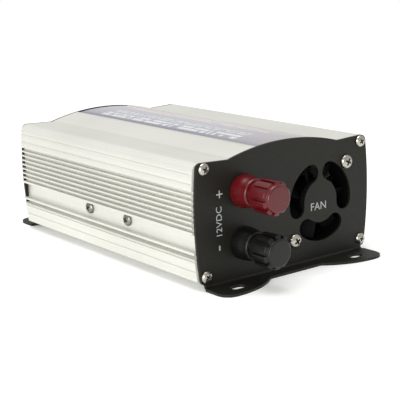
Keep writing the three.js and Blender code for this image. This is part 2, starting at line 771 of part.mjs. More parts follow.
function makeTerminal(name, height, plastic, tail, padX) {
  const at = (y) => [terminalX, y, height];
  add(`${name}_collar`, makeCollar(), plastic, at(0));
  add(`${name}_cap`, makeCap(), plastic, at(0));
  add(`${name}_stud`, makeStud(), brass, at(0));
  add(`${name}_clamp_washer`, ring(washer.radius, studRadius + slipGap, -washer.thickness, 0), nickel,
    at(washerY));
  add(`${name}_inner_bush`, ring(bushRadius, studRadius + slipGap, 0, bushThickness), plastic, at(bushY));
  add(`${name}_nut`, makeNut(), nickel, at(nutY));
  add(`${name}_lead`, makeLead(height, tail, padX), name === 'positive' ? redPlastic : blackPlastic,
    at(lugY));
}

// ---------------------------------------------------------------- fan

function makeFan() {
  const half = fanSize / 2;
  const motorPlate = fanRearY - motorPlateThickness;
  const tubeFront = fanFrontY + bearingSetback;
  const holes = [1, -1].flatMap((sx) => [1, -1].map((sz) => (
    circle(fanX + sx * fanHolePitch / 2, fanHeight + sz * fanHolePitch / 2, fanScrewRadius + slipGap)
  )));
  const rim = shapeOf(roundedRectangle(fanX, fanHeight, half, half, frameCorner),
    [circle(fanX, fanHeight, fanBore, 32), ...holes]);
  const strut = (degrees) => box(8, fanBore + 0.6, motorPlate, fanRearY, -1.1, 1.1)
    .rotateY(-THREE.MathUtils.degToRad(degrees)).translate(fanX, 0, fanHeight);
  const frame = joined(alongY(rim, fanFrontY, fanRearY), [
    rodY(fanX, fanHeight, hubRadius + 0.4, motorPlate, fanRearY, 20),
    rodY(fanX, fanHeight, bearingRadius + bearingWall, tubeFront, fanRearY, 16),
    ...strutAngles.map(strut),
  ]);
  const bearingHole = rodY(fanX, fanHeight, bearingRadius + slipGap, tubeFront - 1, fanRearY - 0.8, 16);
  add('fan_frame', cutFrom(frame, [bearingHole]), blackPlastic);

  const centre = [fanX, 0, fanHeight];
  const cupFront = fanFrontY + rotorSetback;
  const cupRear = motorPlate - 0.5;
  const roof = cupFront + hubWall;
  const shaftHole = fanShaftRadius + slipGap / 2;
  const hub = turned([
    [shaftHole, cupFront], [hubRadius - 0.6, cupFront], [hubRadius, cupFront + 0.6],
    [hubRadius, cupRear], [hubRadius - hubWall, cupRear], [hubRadius - hubWall, roof],
    [shaftHole, roof], [shaftHole, cupFront],
  ], 24);
  const blades = [];
  for (let i = 0; i < bladeCount; i += 1) {
    const blade = box(hubRadius - 0.5, bladeTip, -bladeThickness / 2, bladeThickness / 2,
      -bladeChord / 2, bladeChord / 2);
    blade.rotateX(THREE.MathUtils.degToRad(bladePitch)).translate(0, (cupFront + cupRear) / 2, 0);
    blades.push(blade.rotateY((2 * Math.PI * i) / bladeCount));
  }
  const sweep = ring(bladeTip + 5, bladeTip, cupFront - 5, cupRear + 5, 28);
  add('fan_rotor', cutFrom(joined(hub, blades), [sweep]), blackPlastic, centre);

  const shaftRear = fanRearY - 1;
  add('fan_shaft', turned([
    [0, cupFront + 0.1], [fanShaftRadius, cupFront + 0.1], [fanShaftRadius, shaftRear], [0, shaftRear],
  ], 12), steel, centre);
  add('fan_bearing', ring(bearingRadius, fanShaftRadius + slipGap / 2, tubeFront + 0.2, shaftRear - 0.2, 14),
    brass, centre);
  const core = ring(statorRadius, bearingRadius + bearingWall + slipGap, tubeFront + 0.6, cupRear - 1.2, 18);
  const poles = [0, 1].map((i) => {
    const bar = box(-hubRadius + hubWall + 0.8, hubRadius - hubWall - 0.8, tubeFront + 1.2, cupRear - 1.8,
      -1.6, 1.6);
    return bar.rotateY(Math.PI / 4 + (i * Math.PI) / 2);
  });
  const clear = rodY(0, 0, bearingRadius + bearingWall + slipGap, tubeFront - 1, cupRear + 1, 18);
  add('fan_stator', cutFrom(joined(core, poles), [clear]), copper, centre);
}

// ---------------------------------------------------------------- outlet

function makeOutlet() {
  const plateInner = outletFace - outletFlangeThickness;
  const back = outletFace - outletDepth;
  const floor = outletFace - recessDepth;
  const contactRadius = pinHole + contactWall;
  const flange = alongY(shapeOf(
    roundedRectangle(outletX, outletHeight, outletFlange, outletFlange, outletCorner),
  ), plateInner, outletFace);
  const barrel = rodY(outletX, outletHeight, outletBarrel, back, plateInner + 0.5, 32);
  const recess = rodY(outletX, outletHeight, recessRadius, floor, outletFace + 1, 32);
  const guides = [-1, 1].map((side) => {
    const inner = outletX + side * (recessRadius - outletGuide.reach);
    const outer = outletX + side * (recessRadius + 0.6);
    return box(Math.min(inner, outer), Math.max(inner, outer), floor - 0.5,
      outletFace - outletGuide.setback, outletHeight - outletGuide.halfHeight,
      outletHeight + outletGuide.halfHeight);
  });
  const pockets = [-1, 1].flatMap((side) => {
    const x = outletX + (side * pinPitch) / 2;
    return [
      rodY(x, outletHeight, pinHole, back - 1, floor + 1, 14),
      rodY(x, outletHeight, contactRadius + slipGap, back - 1, floor - contactDrop, 14),
    ];
  });
  const stripRadius = recessRadius - 1.2;
  const stripSlots = [-1, 1].map((side) => {
    const z = outletHeight + side * stripRadius;
    const width = earthStrip.width / 2 + slipGap;
    const depth = earthStrip.thickness / 2 + slipGap;
    return box(outletX - width, outletX + width, back - 1, floor + 1, z - depth, z + depth);
  });
  const cup = cutFrom(joined(flange, [barrel]), [recess]);
  add('outlet_body', cutFrom(joined(cup, guides), [...pockets, ...stripSlots]), blackPlastic);

  for (const [name, side] of [['left', -1], ['right', 1]]) {
    const x = outletX + (side * pinPitch) / 2;
    const tube = ring(contactRadius, pinHole, back - 1, floor - contactDrop - slipGap, 14);
    const tab = box(pinHole + 0.1, pinHole + 0.5, back - 6, back, -2, 2);
    add(`outlet_contact_${name}`, joined(tube, [tab]), brass, [x, 0, outletHeight]);
  }

  const half = earthStrip.thickness / 2;
  const lip = stripRadius + half;
  const strap = outline(
    [outletFace - 3, lip - 2.4], [outletFace - 5, lip], [back - 1.5, lip], [back - 1.5, -lip],
    [outletFace - 5, -lip], [outletFace - 3, -lip + 2.4], [outletFace - 3.8, -lip + 2.6],
    [outletFace - 5.5, -lip + 2 * half], [back - 1.5 + 2 * half, -lip + 2 * half],
    [back - 1.5 + 2 * half, lip - 2 * half], [outletFace - 5.5, lip - 2 * half],
    [outletFace - 3.8, lip - 2.6],
  );
  const strip = alongX(shapeOf(strap), -earthStrip.width / 2, earthStrip.width / 2);
  const neckHalf = pinPitch / 2 - contactRadius - 2;
  const waist = [-1, 1].map((side) => {
    const inner = side * neckHalf;
    const outer = side * (earthStrip.width / 2 + 1);
    return box(Math.min(inner, outer), Math.max(inner, outer), back - 3, back - 0.7, -9, 9);
  });
  const clip = neckHalf < earthStrip.width / 2 ? cutFrom(strip, waist) : strip;
  add('outlet_earth_strip', clip, brass, [outletX, 0, outletHeight]);
}

// ---------------------------------------------------------------- switch and lamps

function makeSwitch() {
  const opening = { x: rockerWidth / 2 + 0.3, z: rockerReach + 0.9 };
  const bezel = alongY(shapeOf(
    roundedRectangle(switchX, switchHeight, switchBezel.x / 2, switchBezel.z / 2, 1.2),
  ), switchFace - switchBezel.thickness, switchFace);
  const back = switchFace - switchBezel.thickness - switchBody.depth;
  const block = box(switchX - switchBody.x / 2, switchX + switchBody.x / 2, back,
    switchFace - switchBezel.thickness + 0.2, switchHeight - switchBody.z / 2,
    switchHeight + switchBody.z / 2);
  const tabs = [-5, 5].map((dz) => box(switchX - 0.4, switchX + 0.4, back - 7, back + 0.5,
    switchHeight + dz - 2.4, switchHeight + dz + 2.4));
  const well = box(switchX - opening.x, switchX + opening.x, pivotY - wellDepth, switchFace + 1,
    switchHeight - opening.z, switchHeight + opening.z);
  const bearing = rodY(0, 0, pivotRadius + slipGap, -10, 10, 12).rotateZ(Math.PI / 2)
    .translate(switchX, pivotY, switchHeight);
  const trunnionReach = switchBody.x / 2 - 0.3;
  const ends = [-1, 1].map((side) => {
    const inner = switchX + side * trunnionReach;
    const outer = switchX + side * 12;
    return box(Math.min(inner, outer), Math.max(inner, outer), pivotY - 3, pivotY + 3,
      switchHeight - 3, switchHeight + 3);
  });
  const bore = cutFrom(bearing, ends);
  add('switch_body', cutFrom(joined(block, [bezel, ...tabs]), [well, bore]), blackPlastic);

  const rocker = alongX(shapeOf(outline(
    [-3.2, -3.6], [-3.2, 3.6], [1.2, rockerReach], [2.9, rockerReach], [3.4, rockerReach - 0.6],
    [2.4, 0], [3.4, 0.6 - rockerReach], [2.9, -rockerReach], [1.2, -rockerReach],
  )), -rockerWidth / 2, rockerWidth / 2);
  const trunnion = rodY(0, 0, pivotRadius, -trunnionReach + slipGap, trunnionReach - slipGap, 12)
    .rotateZ(Math.PI / 2);
  const paddle = joined(rocker, [trunnion]).rotateX(THREE.MathUtils.degToRad(-rockTilt));
  add('switch_rocker', paddle, blackPlastic, [switchX, pivotY, switchHeight]);
}

function makeLamps() {
  for (const [name, lens] of [['power', greenLens], ['fault', redLens]]) {
    const lamp = turned([
      [0, -7], [lampRadius, -7], [lampRadius, seatGap], [lampFlange, seatGap],
      [lampFlange, 0.8], [lampFlange - 0.4, 1.2], [lampRadius, 1.2], [lampRadius * 0.9, 2.2],
      [lampRadius * 0.5, 3.1], [0, 3.4],
    ], 14);
    add(`${name}_lamp`, lamp, lens, [lampPlaces[name], rearY, switchHeight]);
  }
}

// ---------------------------------------------------------------- electronics

function makeBoard() {
  const level = boardTop + seatGap;
  add('circuit_board', box(-boardHalfWidth, boardHalfWidth, boardFront, boardRear, boardHeight, boardTop),
    laminate);

  // Transformer: a double-E core standing on edge, with its winding round the middle leg
  const { halfX, halfY, leg, gap } = transformer;
  const windowX = halfX - leg;
  const windows = [-1, 1].map((side) => {
    const inner = side * leg;
    const outer = side * windowX;
    return box(Math.min(inner, outer), Math.max(inner, outer), -halfY - 1, halfY + 1,
      leg, transformer.height - leg);
  });
  const core = box(-halfX, halfX, -halfY, halfY, 0, transformer.height);
  add('transformer_core', cutFrom(core, windows), ferrite, [...transformer.at, level]);
  const coilHalf = windowX - gap;
  const coilOutline = roundedRectangle(0, 0, coilHalf, coilHalf + 1, 3);
  const coilHole = new THREE.Path(roundedRectangle(0, 0, leg + gap, halfY + gap, 0.5).reverse());
  const coilTop = transformer.height - leg - gap;
  add('transformer_winding', alongZ(shapeOf(coilOutline, [coilHole]), leg + gap, coilTop), tape,
    [...transformer.at, level]);

  const torus = arc(choke.ring, 0, choke.section, 0, 2 * Math.PI, 8).map((p) => [p.x, p.y]);
  add('output_choke', turned(torus, 18), copper, [...choke.at, level + choke.centre]);

  const can = ({ radius, height }) => turned([
    [0, 0], [radius, 0], [radius, 2.4], [radius - 0.4, 2.9], [radius, 3.4],
    [radius, height - 0.6], [radius - 0.6, height], [0, height],
  ], 18).rotateX(Math.PI / 2);
  add('bus_capacitor', can(busCapacitor), sleeve, [...busCapacitor.at, level]);
  add('input_capacitor', can(inputCapacitor), sleeve, [...inputCapacitor.at, level]);

  const bladeInner = fuse.halfWidth;
  const bladeOuter = fuse.halfLength - 2;
  const fuseSolid = joined(
    box(-fuse.halfLength, fuse.halfLength, -fuse.halfWidth, fuse.halfWidth, fuse.low, fuse.high),
    [
      box(-bladeOuter, -bladeInner, -0.4, 0.4, 0, fuse.low + 1),
      box(bladeInner, bladeOuter, -0.4, 0.4, 0, fuse.low + 1),
    ],
  );
  add('blade_fuse', fuseSolid, fuseBody, [...fuse.at, level]);

  for (const [side, sign] of [['left', -1], ['right', 1]]) {
    const outer = innerHalfWidth - seatGap;
    const inner = innerHalfWidth - transistorThickness;
    const span = (from, to) => (sign > 0 ? [from, to] : [-to, -from]);
    const [front, rear] = sideScrewPlaces;
    const pitch = (rear - front) / 3;
    const low = boardTop + slideGap + railThickness + 0.3;
    for (const [row, y] of [['front', front + pitch], ['rear', rear - pitch]]) {
      const width = Math.min(transistor.halfWidth, pitch / 2 - 0.3);
      const legs = [-1, 0, 1].map((place) => {
        const dy = place * transistor.legPitch;
        const legX = innerHalfWidth - railReach - 1.2;
        return box(...span(legX, legX + 0.7), y + dy - 0.4, y + dy + 0.4, level, low + 1);
      });
      const tab = box(...span(outer - transistor.tabThickness, outer), y - width, y + width, low,
        low + transistor.tabHeight);
      const body = box(...span(inner + slipGap, outer - 1), y - width, y + width, low,
        low + transistor.height);
      add(`transistor_${side}_${row}`, joined(body, [tab, ...legs]), blackPlastic);
    }
    const bar = box(...span(inner - clampThickness, inner - seatGap), front - clampBar.overhang,
      rear + clampBar.overhang, sideScrewHeight - clampBar.halfHeight,
      sideScrewHeight + clampBar.halfHeight);
    const threads = sideScrewPlaces.map((y) => rodY(0, 0, screwHole, 0, bodyHalfWidth, 12)
      .rotateZ((-sign * Math.PI) / 2).translate(0, y, sideScrewHeight));
    add(`clamp_bar_${side}`, cutFrom(bar, threads), steel);
  }
}

// ---------------------------------------------------------------- assembly

makeHousing();
makeFrontPlate();
makeRearPlate();
makeScrews();
makeTerminal('positive', positiveHeight, redPlastic, [0, -1], 0);
makeTerminal('negative', negativeHeight, blackPlastic, [1, 0], 12);
makeFan();
makeOutlet();
makeSwitch();
makeLamps();
makeBoard();

export default inverter;
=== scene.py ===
"""Power inverter: the visible pieces, their finishes and a plain stage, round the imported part."""

import json
import math
from contextlib import contextmanager

import bmesh
import bpy
from mathutils import Matrix, Vector


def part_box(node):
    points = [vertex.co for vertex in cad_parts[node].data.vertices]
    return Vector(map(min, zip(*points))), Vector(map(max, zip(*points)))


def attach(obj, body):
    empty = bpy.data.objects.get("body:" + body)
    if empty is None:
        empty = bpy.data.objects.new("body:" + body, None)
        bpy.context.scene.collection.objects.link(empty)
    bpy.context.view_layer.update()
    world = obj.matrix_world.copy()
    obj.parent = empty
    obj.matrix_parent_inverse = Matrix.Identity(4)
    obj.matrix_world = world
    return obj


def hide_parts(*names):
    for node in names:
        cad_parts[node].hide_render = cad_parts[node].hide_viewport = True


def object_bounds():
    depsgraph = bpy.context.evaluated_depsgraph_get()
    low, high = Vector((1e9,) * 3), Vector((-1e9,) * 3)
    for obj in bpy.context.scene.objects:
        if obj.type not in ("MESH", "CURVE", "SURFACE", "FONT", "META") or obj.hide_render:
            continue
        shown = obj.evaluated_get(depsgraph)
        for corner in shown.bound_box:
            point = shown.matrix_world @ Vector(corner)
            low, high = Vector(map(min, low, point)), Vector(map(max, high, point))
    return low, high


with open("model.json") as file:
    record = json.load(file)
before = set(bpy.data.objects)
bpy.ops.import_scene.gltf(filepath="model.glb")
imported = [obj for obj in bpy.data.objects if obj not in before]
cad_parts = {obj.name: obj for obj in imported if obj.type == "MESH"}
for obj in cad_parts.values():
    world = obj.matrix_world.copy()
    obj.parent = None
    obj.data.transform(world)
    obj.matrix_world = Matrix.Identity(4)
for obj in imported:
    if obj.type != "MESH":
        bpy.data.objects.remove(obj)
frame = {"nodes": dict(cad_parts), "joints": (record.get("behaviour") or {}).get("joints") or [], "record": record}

bl_info = {
    "name": "Power inverter",
    "version": (1, 0, 0),
    "blender": (4, 5, 0),
    "location": "3D View > Sidebar > Inverter",
    "description": "Models a finned 12 V power inverter round its packed frame",
    "category": "Add Mesh",
}

MM = 0.001
CAD_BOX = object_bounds()
BODIES = frame["record"]["behaviour"]["bodies"]
BODY_OF = {node: body for body, nodes in BODIES.items() for node in nodes}
WELD = 0.002 * MM               # vertices closer than this are one
SHEET = 1.2 * MM                # thickness of the end plates
SEAT = 0.05 * MM                # gap between two clamped faces
SLIP = 0.1 * MM                 # gap between a shank and its hole
HEAD_SHARE = 0.62               # height of a pan head over its radius
CASE_SHANK = 1.35 * MM          # radius of the corner and side screws
FAN_SHANK = 1.6 * MM
CASED_EDGE = 0.15 * MM          # radius on lamps and components
METAL_EDGE = 0.1 * MM           # and on small shafts and tubes
FRONT_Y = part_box("housing_shell")[0].y - SHEET - SEAT
SIDES = ("left", "right")
ROWS = ("upper", "lower")
ENDS = ("front", "rear")


def linear(code):
    """An sRGB hex colour as linear red, green and blue."""
    parts = [int(code[i:i + 2], 16) / 255 for i in (1, 3, 5)]
    return [p / 12.92 if p <= 0.04045 else ((p + 0.055) / 1.055) ** 2.4 for p in parts]


def length(name, description, millimetres):
    """A length property, given in millimetres and kept in metres."""
    return bpy.props.FloatProperty(
        name=name, description=description, default=millimetres * MM, min=0, subtype="DISTANCE",
        unit="LENGTH", precision=5)


def colour(name, description, code):
    """A colour property, given as an sRGB hex value."""
    return bpy.props.FloatVectorProperty(
        name=name, description=description, default=linear(code), size=3, min=0, max=1,
        subtype="COLOR")


def angle(name, description, degrees):
    """An angle property, given in degrees and kept in radians."""
    return bpy.props.FloatProperty(
        name=name, description=description, default=math.radians(degrees), subtype="ANGLE",
        unit="ROTATION")


def amount(name, description, value, unit="NONE"):
    """A number that is never negative."""
    return bpy.props.FloatProperty(
        name=name, description=description, default=value, min=0, unit=unit)


# ---------------- settings


class InverterSizes(bpy.types.PropertyGroup):
    """Sizes that shape the new pieces"""
    fin_rounding: length("Fin rounding", "Radius on the tips of the case's fins", 0.2)
    groove_rounding: length("Groove rounding", "Radius on the case's fine lines and saw cuts", 0.09)
    sheet_rounding: length("Sheet rounding", "Radius on the punched edges of the end plates", 0.22)
    moulded_rounding: length("Moulded rounding", "Radius on the edges of moulded fittings", 0.35)
    fine_rounding: length("Fine rounding", "Radius on small turned and stamped pieces", 0.12)
    crown_half_width: length("Crown half width", "Half of the chord under the case's crown", 32)
    crown_rise: length("Crown rise", "Height of the crown over the shoulders", 4.6)
    label_corner: length("Label corner", "Corner radius of the printed film", 0.9)
    collar_radius: length("Collar radius", "Foot of a binding post's collar", 7.4)
    collar_lip: length("Collar lip", "Radius at the open end of a collar", 6.25)
    cap_core: length("Cap core", "Radius of a post cap between its ribs", 6.2)
    cap_rib: length("Cap rib height", "How far the ribs stand out of the cap", 1.3)
    cap_ribs: bpy.props.IntProperty(
        name="Cap ribs", description="Number of grip ribs round a cap", default=10, min=4, max=24)
    stud_radius: length("Stud radius", "Outer radius of the terminal studs", 2.5)
    stud_pitch: length("Stud pitch", "Pitch of the studs' thread", 0.8)
    screw_pitch: length("Screw pitch", "Pitch of the case screws' thread", 0.6)
    legend_height: length("Legend height", "How far the printed legends stand proud", 0.03)
    blade_camber: angle("Blade camber", "Bend across a fan blade", 34)
    blade_twist: angle("Blade twist", "Change of pitch from a blade's root to its tip", 14)


class InverterColours(bpy.types.PropertyGroup):
    """Colours of the finishes"""
    aluminium: colour("Anodised aluminium", "Clear anodised extrusion", "#D8D8D0")
    coating: colour("Plate coating", "Black powder coat of the end plates", "#17160F")
    nickel: colour("Nickel plate", "Bright plated screws, nuts and washers", "#C4C1B5")
    red_nylon: colour("Red nylon", "Positive binding post", "#55090F")
    black_nylon: colour("Black nylon", "Negative post, outlet, switch", "#0A0A09")
    ink: colour("Legend ink", "Screen-printed legends", "#A6ABA7")
    brass: colour("Brass", "Studs and contacts", "#C9A560")
    copper: colour("Copper", "Enamelled windings", "#B4653A")
    floor: colour("Floor", "Pale studio floor", "#F4F4F2")


class InverterStage(bpy.types.PropertyGroup):
    """Camera and light"""
    aim: bpy.props.FloatVectorProperty(
        name="Aim", description="Point that the camera looks at", size=3, subtype="TRANSLATION",
        unit="LENGTH", default=(-3.2555 * MM, FRONT_Y + 60 * MM, 22.677 * MM))
    distance: length("Distance", "From the camera to its aim", 535.33)
    azimuth: angle("Azimuth", "Camera's turn from straight in front", -36.617)
    elevation: angle("Elevation", "Camera's height above level", 13.145)
    roll: angle("Roll", "Camera's tilt about its view", -1.869)
    lens: amount("Lens", "Focal length", 98.646, "CAMERA")
    sensor: amount("Sensor", "Width of the camera's sensor", 36, "CAMERA")
    room: amount("Room light", "Strength of the even white surroundings", 0.68)
    side: amount("Side box", "Power of the soft box beside the camera", 13.5, "POWER")
    top: amount("Top box", "Power of the soft box overhead", 8.4, "POWER")
    paper: amount("Paper glow", "Light from below through the paper", 0.16)


# ---------------- modelling helpers


def pick(obj):
    """Makes one object the only one selected, and the active one."""
    if bpy.context.mode != "OBJECT":
        bpy.ops.object.mode_set(mode="OBJECT")
    bpy.ops.object.select_all(action="DESELECT")
    obj.select_set(True)
    bpy.context.view_layer.objects.active = obj


@contextmanager
def editing(obj, kind="FACE", action="DESELECT"):
    """Edit mode on one object, with nothing selected or, for the action SELECT, everything."""
    pick(obj)
    bpy.ops.object.mode_set(mode="EDIT")
    bpy.ops.mesh.select_mode(type=kind)
    bpy.ops.mesh.select_all(action=action)
    yield
    bpy.ops.object.mode_set(mode="OBJECT")


def choose(obj, kind, test):
    """Selects the faces, edges or verts of the mesh being edited that pass a test."""
    mesh = bmesh.from_edit_mesh(obj.data)
    mesh.normal_update()
    found = [part for part in getattr(mesh, kind) if test(part)]
    if not found:
        raise RuntimeError(f"{obj.name}: no {kind} were found where they should be")
    for part in found:
        part.select_set(True)
    bmesh.update_edit_mesh(obj.data)


def settle(obj):
    """Puts the object's place, turn and scale into its mesh."""
    pick(obj)
    bpy.ops.object.transform_apply(location=True, rotation=True, scale=True)
    return obj


def added(name):
    """The object that the last operator added, named and settled."""
    obj = bpy.context.object
    obj.name = name
    return settle(obj)


def modify(obj, kind, **settings):
    """Adds a modifier and applies it."""
    pick(obj)
    modifier = obj.modifiers.new(kind, kind)
    for key, value in settings.items():
        setattr(modifier, key, value)
    bpy.ops.object.modifier_apply(modifier=modifier.name)
    return obj


def combine(obj, tool, operation):
    """Joins, cuts or trims obj with tool, which is used up."""
    modify(obj, "BOOLEAN", object=tool, operation=operation, solver="EXACT")
    bpy.data.objects.remove(tool)
    if not obj.data.polygons:
        raise RuntimeError(f"{obj.name}: {operation} left nothing")
    return obj


def rounded(obj, width, segments=2, limit=30):
    """Rounds every edge sharper than limit, in degrees."""
    return modify(obj, "BEVEL", width=width, segments=segments, limit_method="ANGLE",
                  angle_limit=math.radians(limit), use_clamp_overlap=True)


def shaded(obj, limit=38):
    """Smooth shading up to an angle in degrees, with flats kept flat."""
    pick(obj)
    bpy.ops.object.shade_smooth_by_angle(angle=math.radians(limit))
    return modify(obj, "WEIGHTED_NORMAL", keep_sharp=True, weight=80)


def outward(obj):
    """Welds doubles and turns all faces outwards."""
    with editing(obj, "VERT", "SELECT"):
        bpy.ops.mesh.remove_doubles(threshold=WELD)
        bpy.ops.mesh.normals_make_consistent(inside=False)
    return obj


def copy_of(node, name):
    """A new object with a welded copy of a frame node's mesh, its flat faces made whole."""
    obj = bpy.data.objects.new(name, frame["nodes"][node].data.copy())
    bpy.context.scene.collection.objects.link(obj)
    obj.data.materials.clear()
    with editing(obj, "VERT", "SELECT"):
        bpy.ops.mesh.remove_doubles(threshold=WELD)
        bpy.ops.mesh.dissolve_limited(angle_limit=math.radians(0.4))
    return obj


def twin(obj, name, place):
    """A copy with its own mesh, moved by a matrix."""
    other = obj.copy()
    other.data = obj.data.copy()
    other.name = name
    bpy.context.scene.collection.objects.link(other)
    other.data.transform(place)
    other.data.update()
    return other


def joined(objects, name):
    """Several objects made one."""
    pick(objects[0])
    for obj in objects[1:]:
        obj.select_set(True)
    bpy.ops.object.join()
    objects[0].name = name
    return objects[0]


def cube(name, low, high):
    """A block between two corners."""
    low, high = Vector(low), Vector(high)
    bpy.ops.mesh.primitive_cube_add(size=1, location=(low + high) / 2, scale=high - low)
    return added(name)


def rod(name, radius, low, high, sides=48):
    """A cylinder along Y on the origin's axis."""
    bpy.ops.mesh.primitive_cylinder_add(
        vertices=sides, radius=radius, depth=high - low, location=(0, (low + high) / 2, 0),
        rotation=(math.pi / 2, 0, 0))
    return added(name)


def traced(name, start, moves):
    """A chain of edges from a starting point."""
    bpy.ops.mesh.primitive_plane_add(size=MM, location=start)
    obj = added(name)
    with editing(obj, "VERT", "SELECT"):
        bpy.ops.mesh.merge(type="CENTER")
        for move in moves:
            bpy.ops.mesh.extrude_vertices_move(TRANSFORM_OT_translate={"value": move})
    return obj


def spun(name, profile, steps=64, ring=False):
    """A profile of (radius, y) points turned about the Y axis; a ring's profile is closed."""
    points = [Vector((radius, y, 0)) for radius, y in profile]
    if ring:
        points.append(points[0])
    obj = traced(name, points[0], [after - before for before, after in zip(points, points[1:])])
    with editing(obj, "VERT", "SELECT"):
        bpy.ops.mesh.spin(steps=steps, angle=2 * math.pi, center=(0, 0, 0), axis=(0, 1, 0))
    return outward(obj)


def threaded(name, radius, pitch, low, high, steps=20):
    """A rod along Y with a true helical thread, cut square at both ends."""
    depth = 0.54 * pitch            # as on a metric thread
    flank, crest, root = 0.42 * pitch, 0.12 * pitch, 0.04 * pitch
    obj = traced(name, (radius - depth, low - 2 * pitch, 0),
                 [(depth, flank, 0), (0, crest, 0), (-depth, flank, 0), (0, root, 0)])
    turns = math.ceil((high - low) / pitch) + 4
    modify(obj, "SCREW", axis="Y", angle=2 * math.pi, screw_offset=pitch, iterations=turns,
           steps=steps, render_steps=steps, use_merge_vertices=True, merge_threshold=WELD)
    outward(obj)
    for y, cut in ((low, -1), (high, 1)):
        with editing(obj, "FACE", "SELECT"):
            bpy.ops.mesh.bisect(plane_co=(0, y, 0), plane_no=(0, cut, 0), use_fill=True,
                                clear_outer=True, threshold=WELD / 4)
    return outward(obj)


def hand_over(obj, material, slot, body, *nodes):
    """Gives a finished piece its material and body, and hides the nodes it stands for; its slot argument is not
    used.
    """
    if not obj.data.materials:
        obj.data.materials.append(material)
    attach(obj, body)
    if nodes:
        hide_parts(*nodes)
    return obj


def refined(node, name, material, slot, width, segments=2):
    """A rounded copy of a frame node takes its place."""
    obj = copy_of(node, name)
    rounded(obj, width, segments)
    return hand_over(shaded(obj), material, slot, BODY_OF[node], node)


# ---------------- finishes


def add_node(tree, kind, values=None, links=None, **settings):
    """Adds a node with its settings, its sockets' values and the links into it."""
    made = tree.nodes.new(kind)
    for key, value in settings.items():
        setattr(made, key, value)
    for socket, value in (values or {}).items():
        made.inputs[socket].default_value = value
    for socket, source in (links or {}).items():
        tree.links.new(source, made.inputs[socket])
    return made


def finish(name, base, shade, roughness, spread=0.06, metallic=0.0, grain=0.5, stretch=(1, 1, 1),
           height=0.01, mottle=30, **sockets):
    """A finish whose colour, gloss and surface follow one grain.

    base and shade are the ends of its colour. In millimetres, grain is the pattern's size, height
    its depth and mottle the size of broad patches. stretch draws the grain out along an axis.
    Other keywords set the shader's sockets, with an underscore for each space.
    """
    known = bpy.data.materials.get(name)
    if known:
        return known
    material = bpy.data.materials.new(name)
    material.use_nodes = True
    tree = material.node_tree
    shader = tree.nodes["Principled BSDF"]
    shader.inputs["Metallic"].default_value = metallic
    for socket, value in sockets.items():
        shader.inputs[socket.replace("_", " ")].default_value = value
    place = add_node(tree, "ShaderNodeTexCoord").outputs["Object"]
    scale = [1 / (grain * MM * s) for s in stretch]
    grid = add_node(tree, "ShaderNodeMapping", {"Scale": scale}, {"Vector": place})
    fine = add_node(tree, "ShaderNodeTexNoise", {"Scale": 1, "Detail": 3, "Roughness": 0.6},
                    {"Vector": grid.outputs["Vector"]})
    broad = add_node(tree, "ShaderNodeTexNoise", {"Scale": 1 / (mottle * MM), "Detail": 2},
                     {"Vector": place})
    both = add_node(tree, "ShaderNodeMath", None,
                    {0: fine.outputs["Fac"], 1: broad.outputs["Fac"]}, operation="ADD")
    share = add_node(tree, "ShaderNodeMapRange", {"From Min": 0.7, "From Max": 1.3},
                     {"Value": both.outputs[0]})
    tint = add_node(tree, "ShaderNodeValToRGB", None, {"Fac": share.outputs["Result"]})
    tint.color_ramp.elements[0].color = (*shade, 1)
    tint.color_ramp.elements[1].color = (*base, 1)
    gloss = add_node(tree, "ShaderNodeMapRange",
                     {"From Min": 0.3, "From Max": 0.7, "To Min": roughness + spread,
                      "To Max": roughness - spread}, {"Value": fine.outputs["Fac"]})
    bump = add_node(tree, "ShaderNodeBump", {"Strength": 1.0, "Distance": height * MM},
                    {"Height": fine.outputs["Fac"]})
    tree.links.new(tint.outputs["Color"], shader.inputs["Base Color"])
    tree.links.new(gloss.outputs["Result"], shader.inputs["Roughness"])
    tree.links.new(bump.outputs["Normal"], shader.inputs["Normal"])
    return material


def darker(tone, share):
    """A share of a linear colour."""
    return [value * share for value in tone]


def toned(name, key, light, shade, roughness, spread=0.06, **looks):
    """A finish made from a share of one of the panel's colours; shade is its darker end's share."""
    tone = darker(getattr(bpy.context.scene.inverter_colours, key), light)
    return finish(name, tone, darker(tone, shade), roughness, spread, **looks)


def anodised():
    # Clear anodised extrusion: the etched skin scatters light, and die lines run along its length.
    # Die lines are 0.05 mm apart in life and are drawn 0.45 mm apart so that they show.
    return toned("clear_anodised_aluminium", "aluminium", 1, 0.88, 0.42, 0.05, metallic=0.42,
                 grain=0.45, stretch=(1, 220, 1), height=0.006, mottle=60)


def coating():
    # Black powder coat: baked satin polyester with a shallow orange peel.
    return toned("satin_black_powder_coat", "coating", 1, 0.8, 0.5, 0.05, grain=0.9,
                 height=0.012, mottle=40, Specular_IOR_Level=0.3)


def nickel():
    # Bright nickel over steel, tumbled in a barrel: glossy with faint cloudy wear.
    return toned("nickel_plated_steel", "nickel", 1, 0.72, 0.24, 0.07, metallic=1, grain=1.2,
                 height=0.006, mottle=6)


def side_screw_nickel_painted_shade():
    # The nickel at half its brightness for the side screws: the darkening is painted shade, and it is a little
    # duller than the corner screws' nickel.
    return toned("zinc_plated_steel", "nickel", 0.5, 0.7, 0.36, 0.08, metallic=1, grain=0.9,
                 height=0.006, mottle=5)


def recess_nickel_painted_shade():
    # The driver's recess: the nickel dimmed to a sixth, a painted shade for the shadow inside the cross.
    return toned("soiled_nickel_recess", "nickel", 0.16, 0.5, 0.55, 0.08, metallic=0.6,
                 grain=0.4, height=0.01, mottle=3)


def red_nylon():
    # Glass-filled nylon moulded in a polished tool: deep red with a soft gloss.
    return toned("moulded_red_nylon", "red_nylon", 1, 0.88, 0.25, 0.03, grain=0.6, height=0.002,
                 mottle=9)


def black_nylon():
    # The same nylon in black.
    return toned("moulded_black_nylon", "black_nylon", 1, 0.8, 0.4, 0.05, grain=0.6,
                 height=0.004, mottle=12, Specular_IOR_Level=0.38)


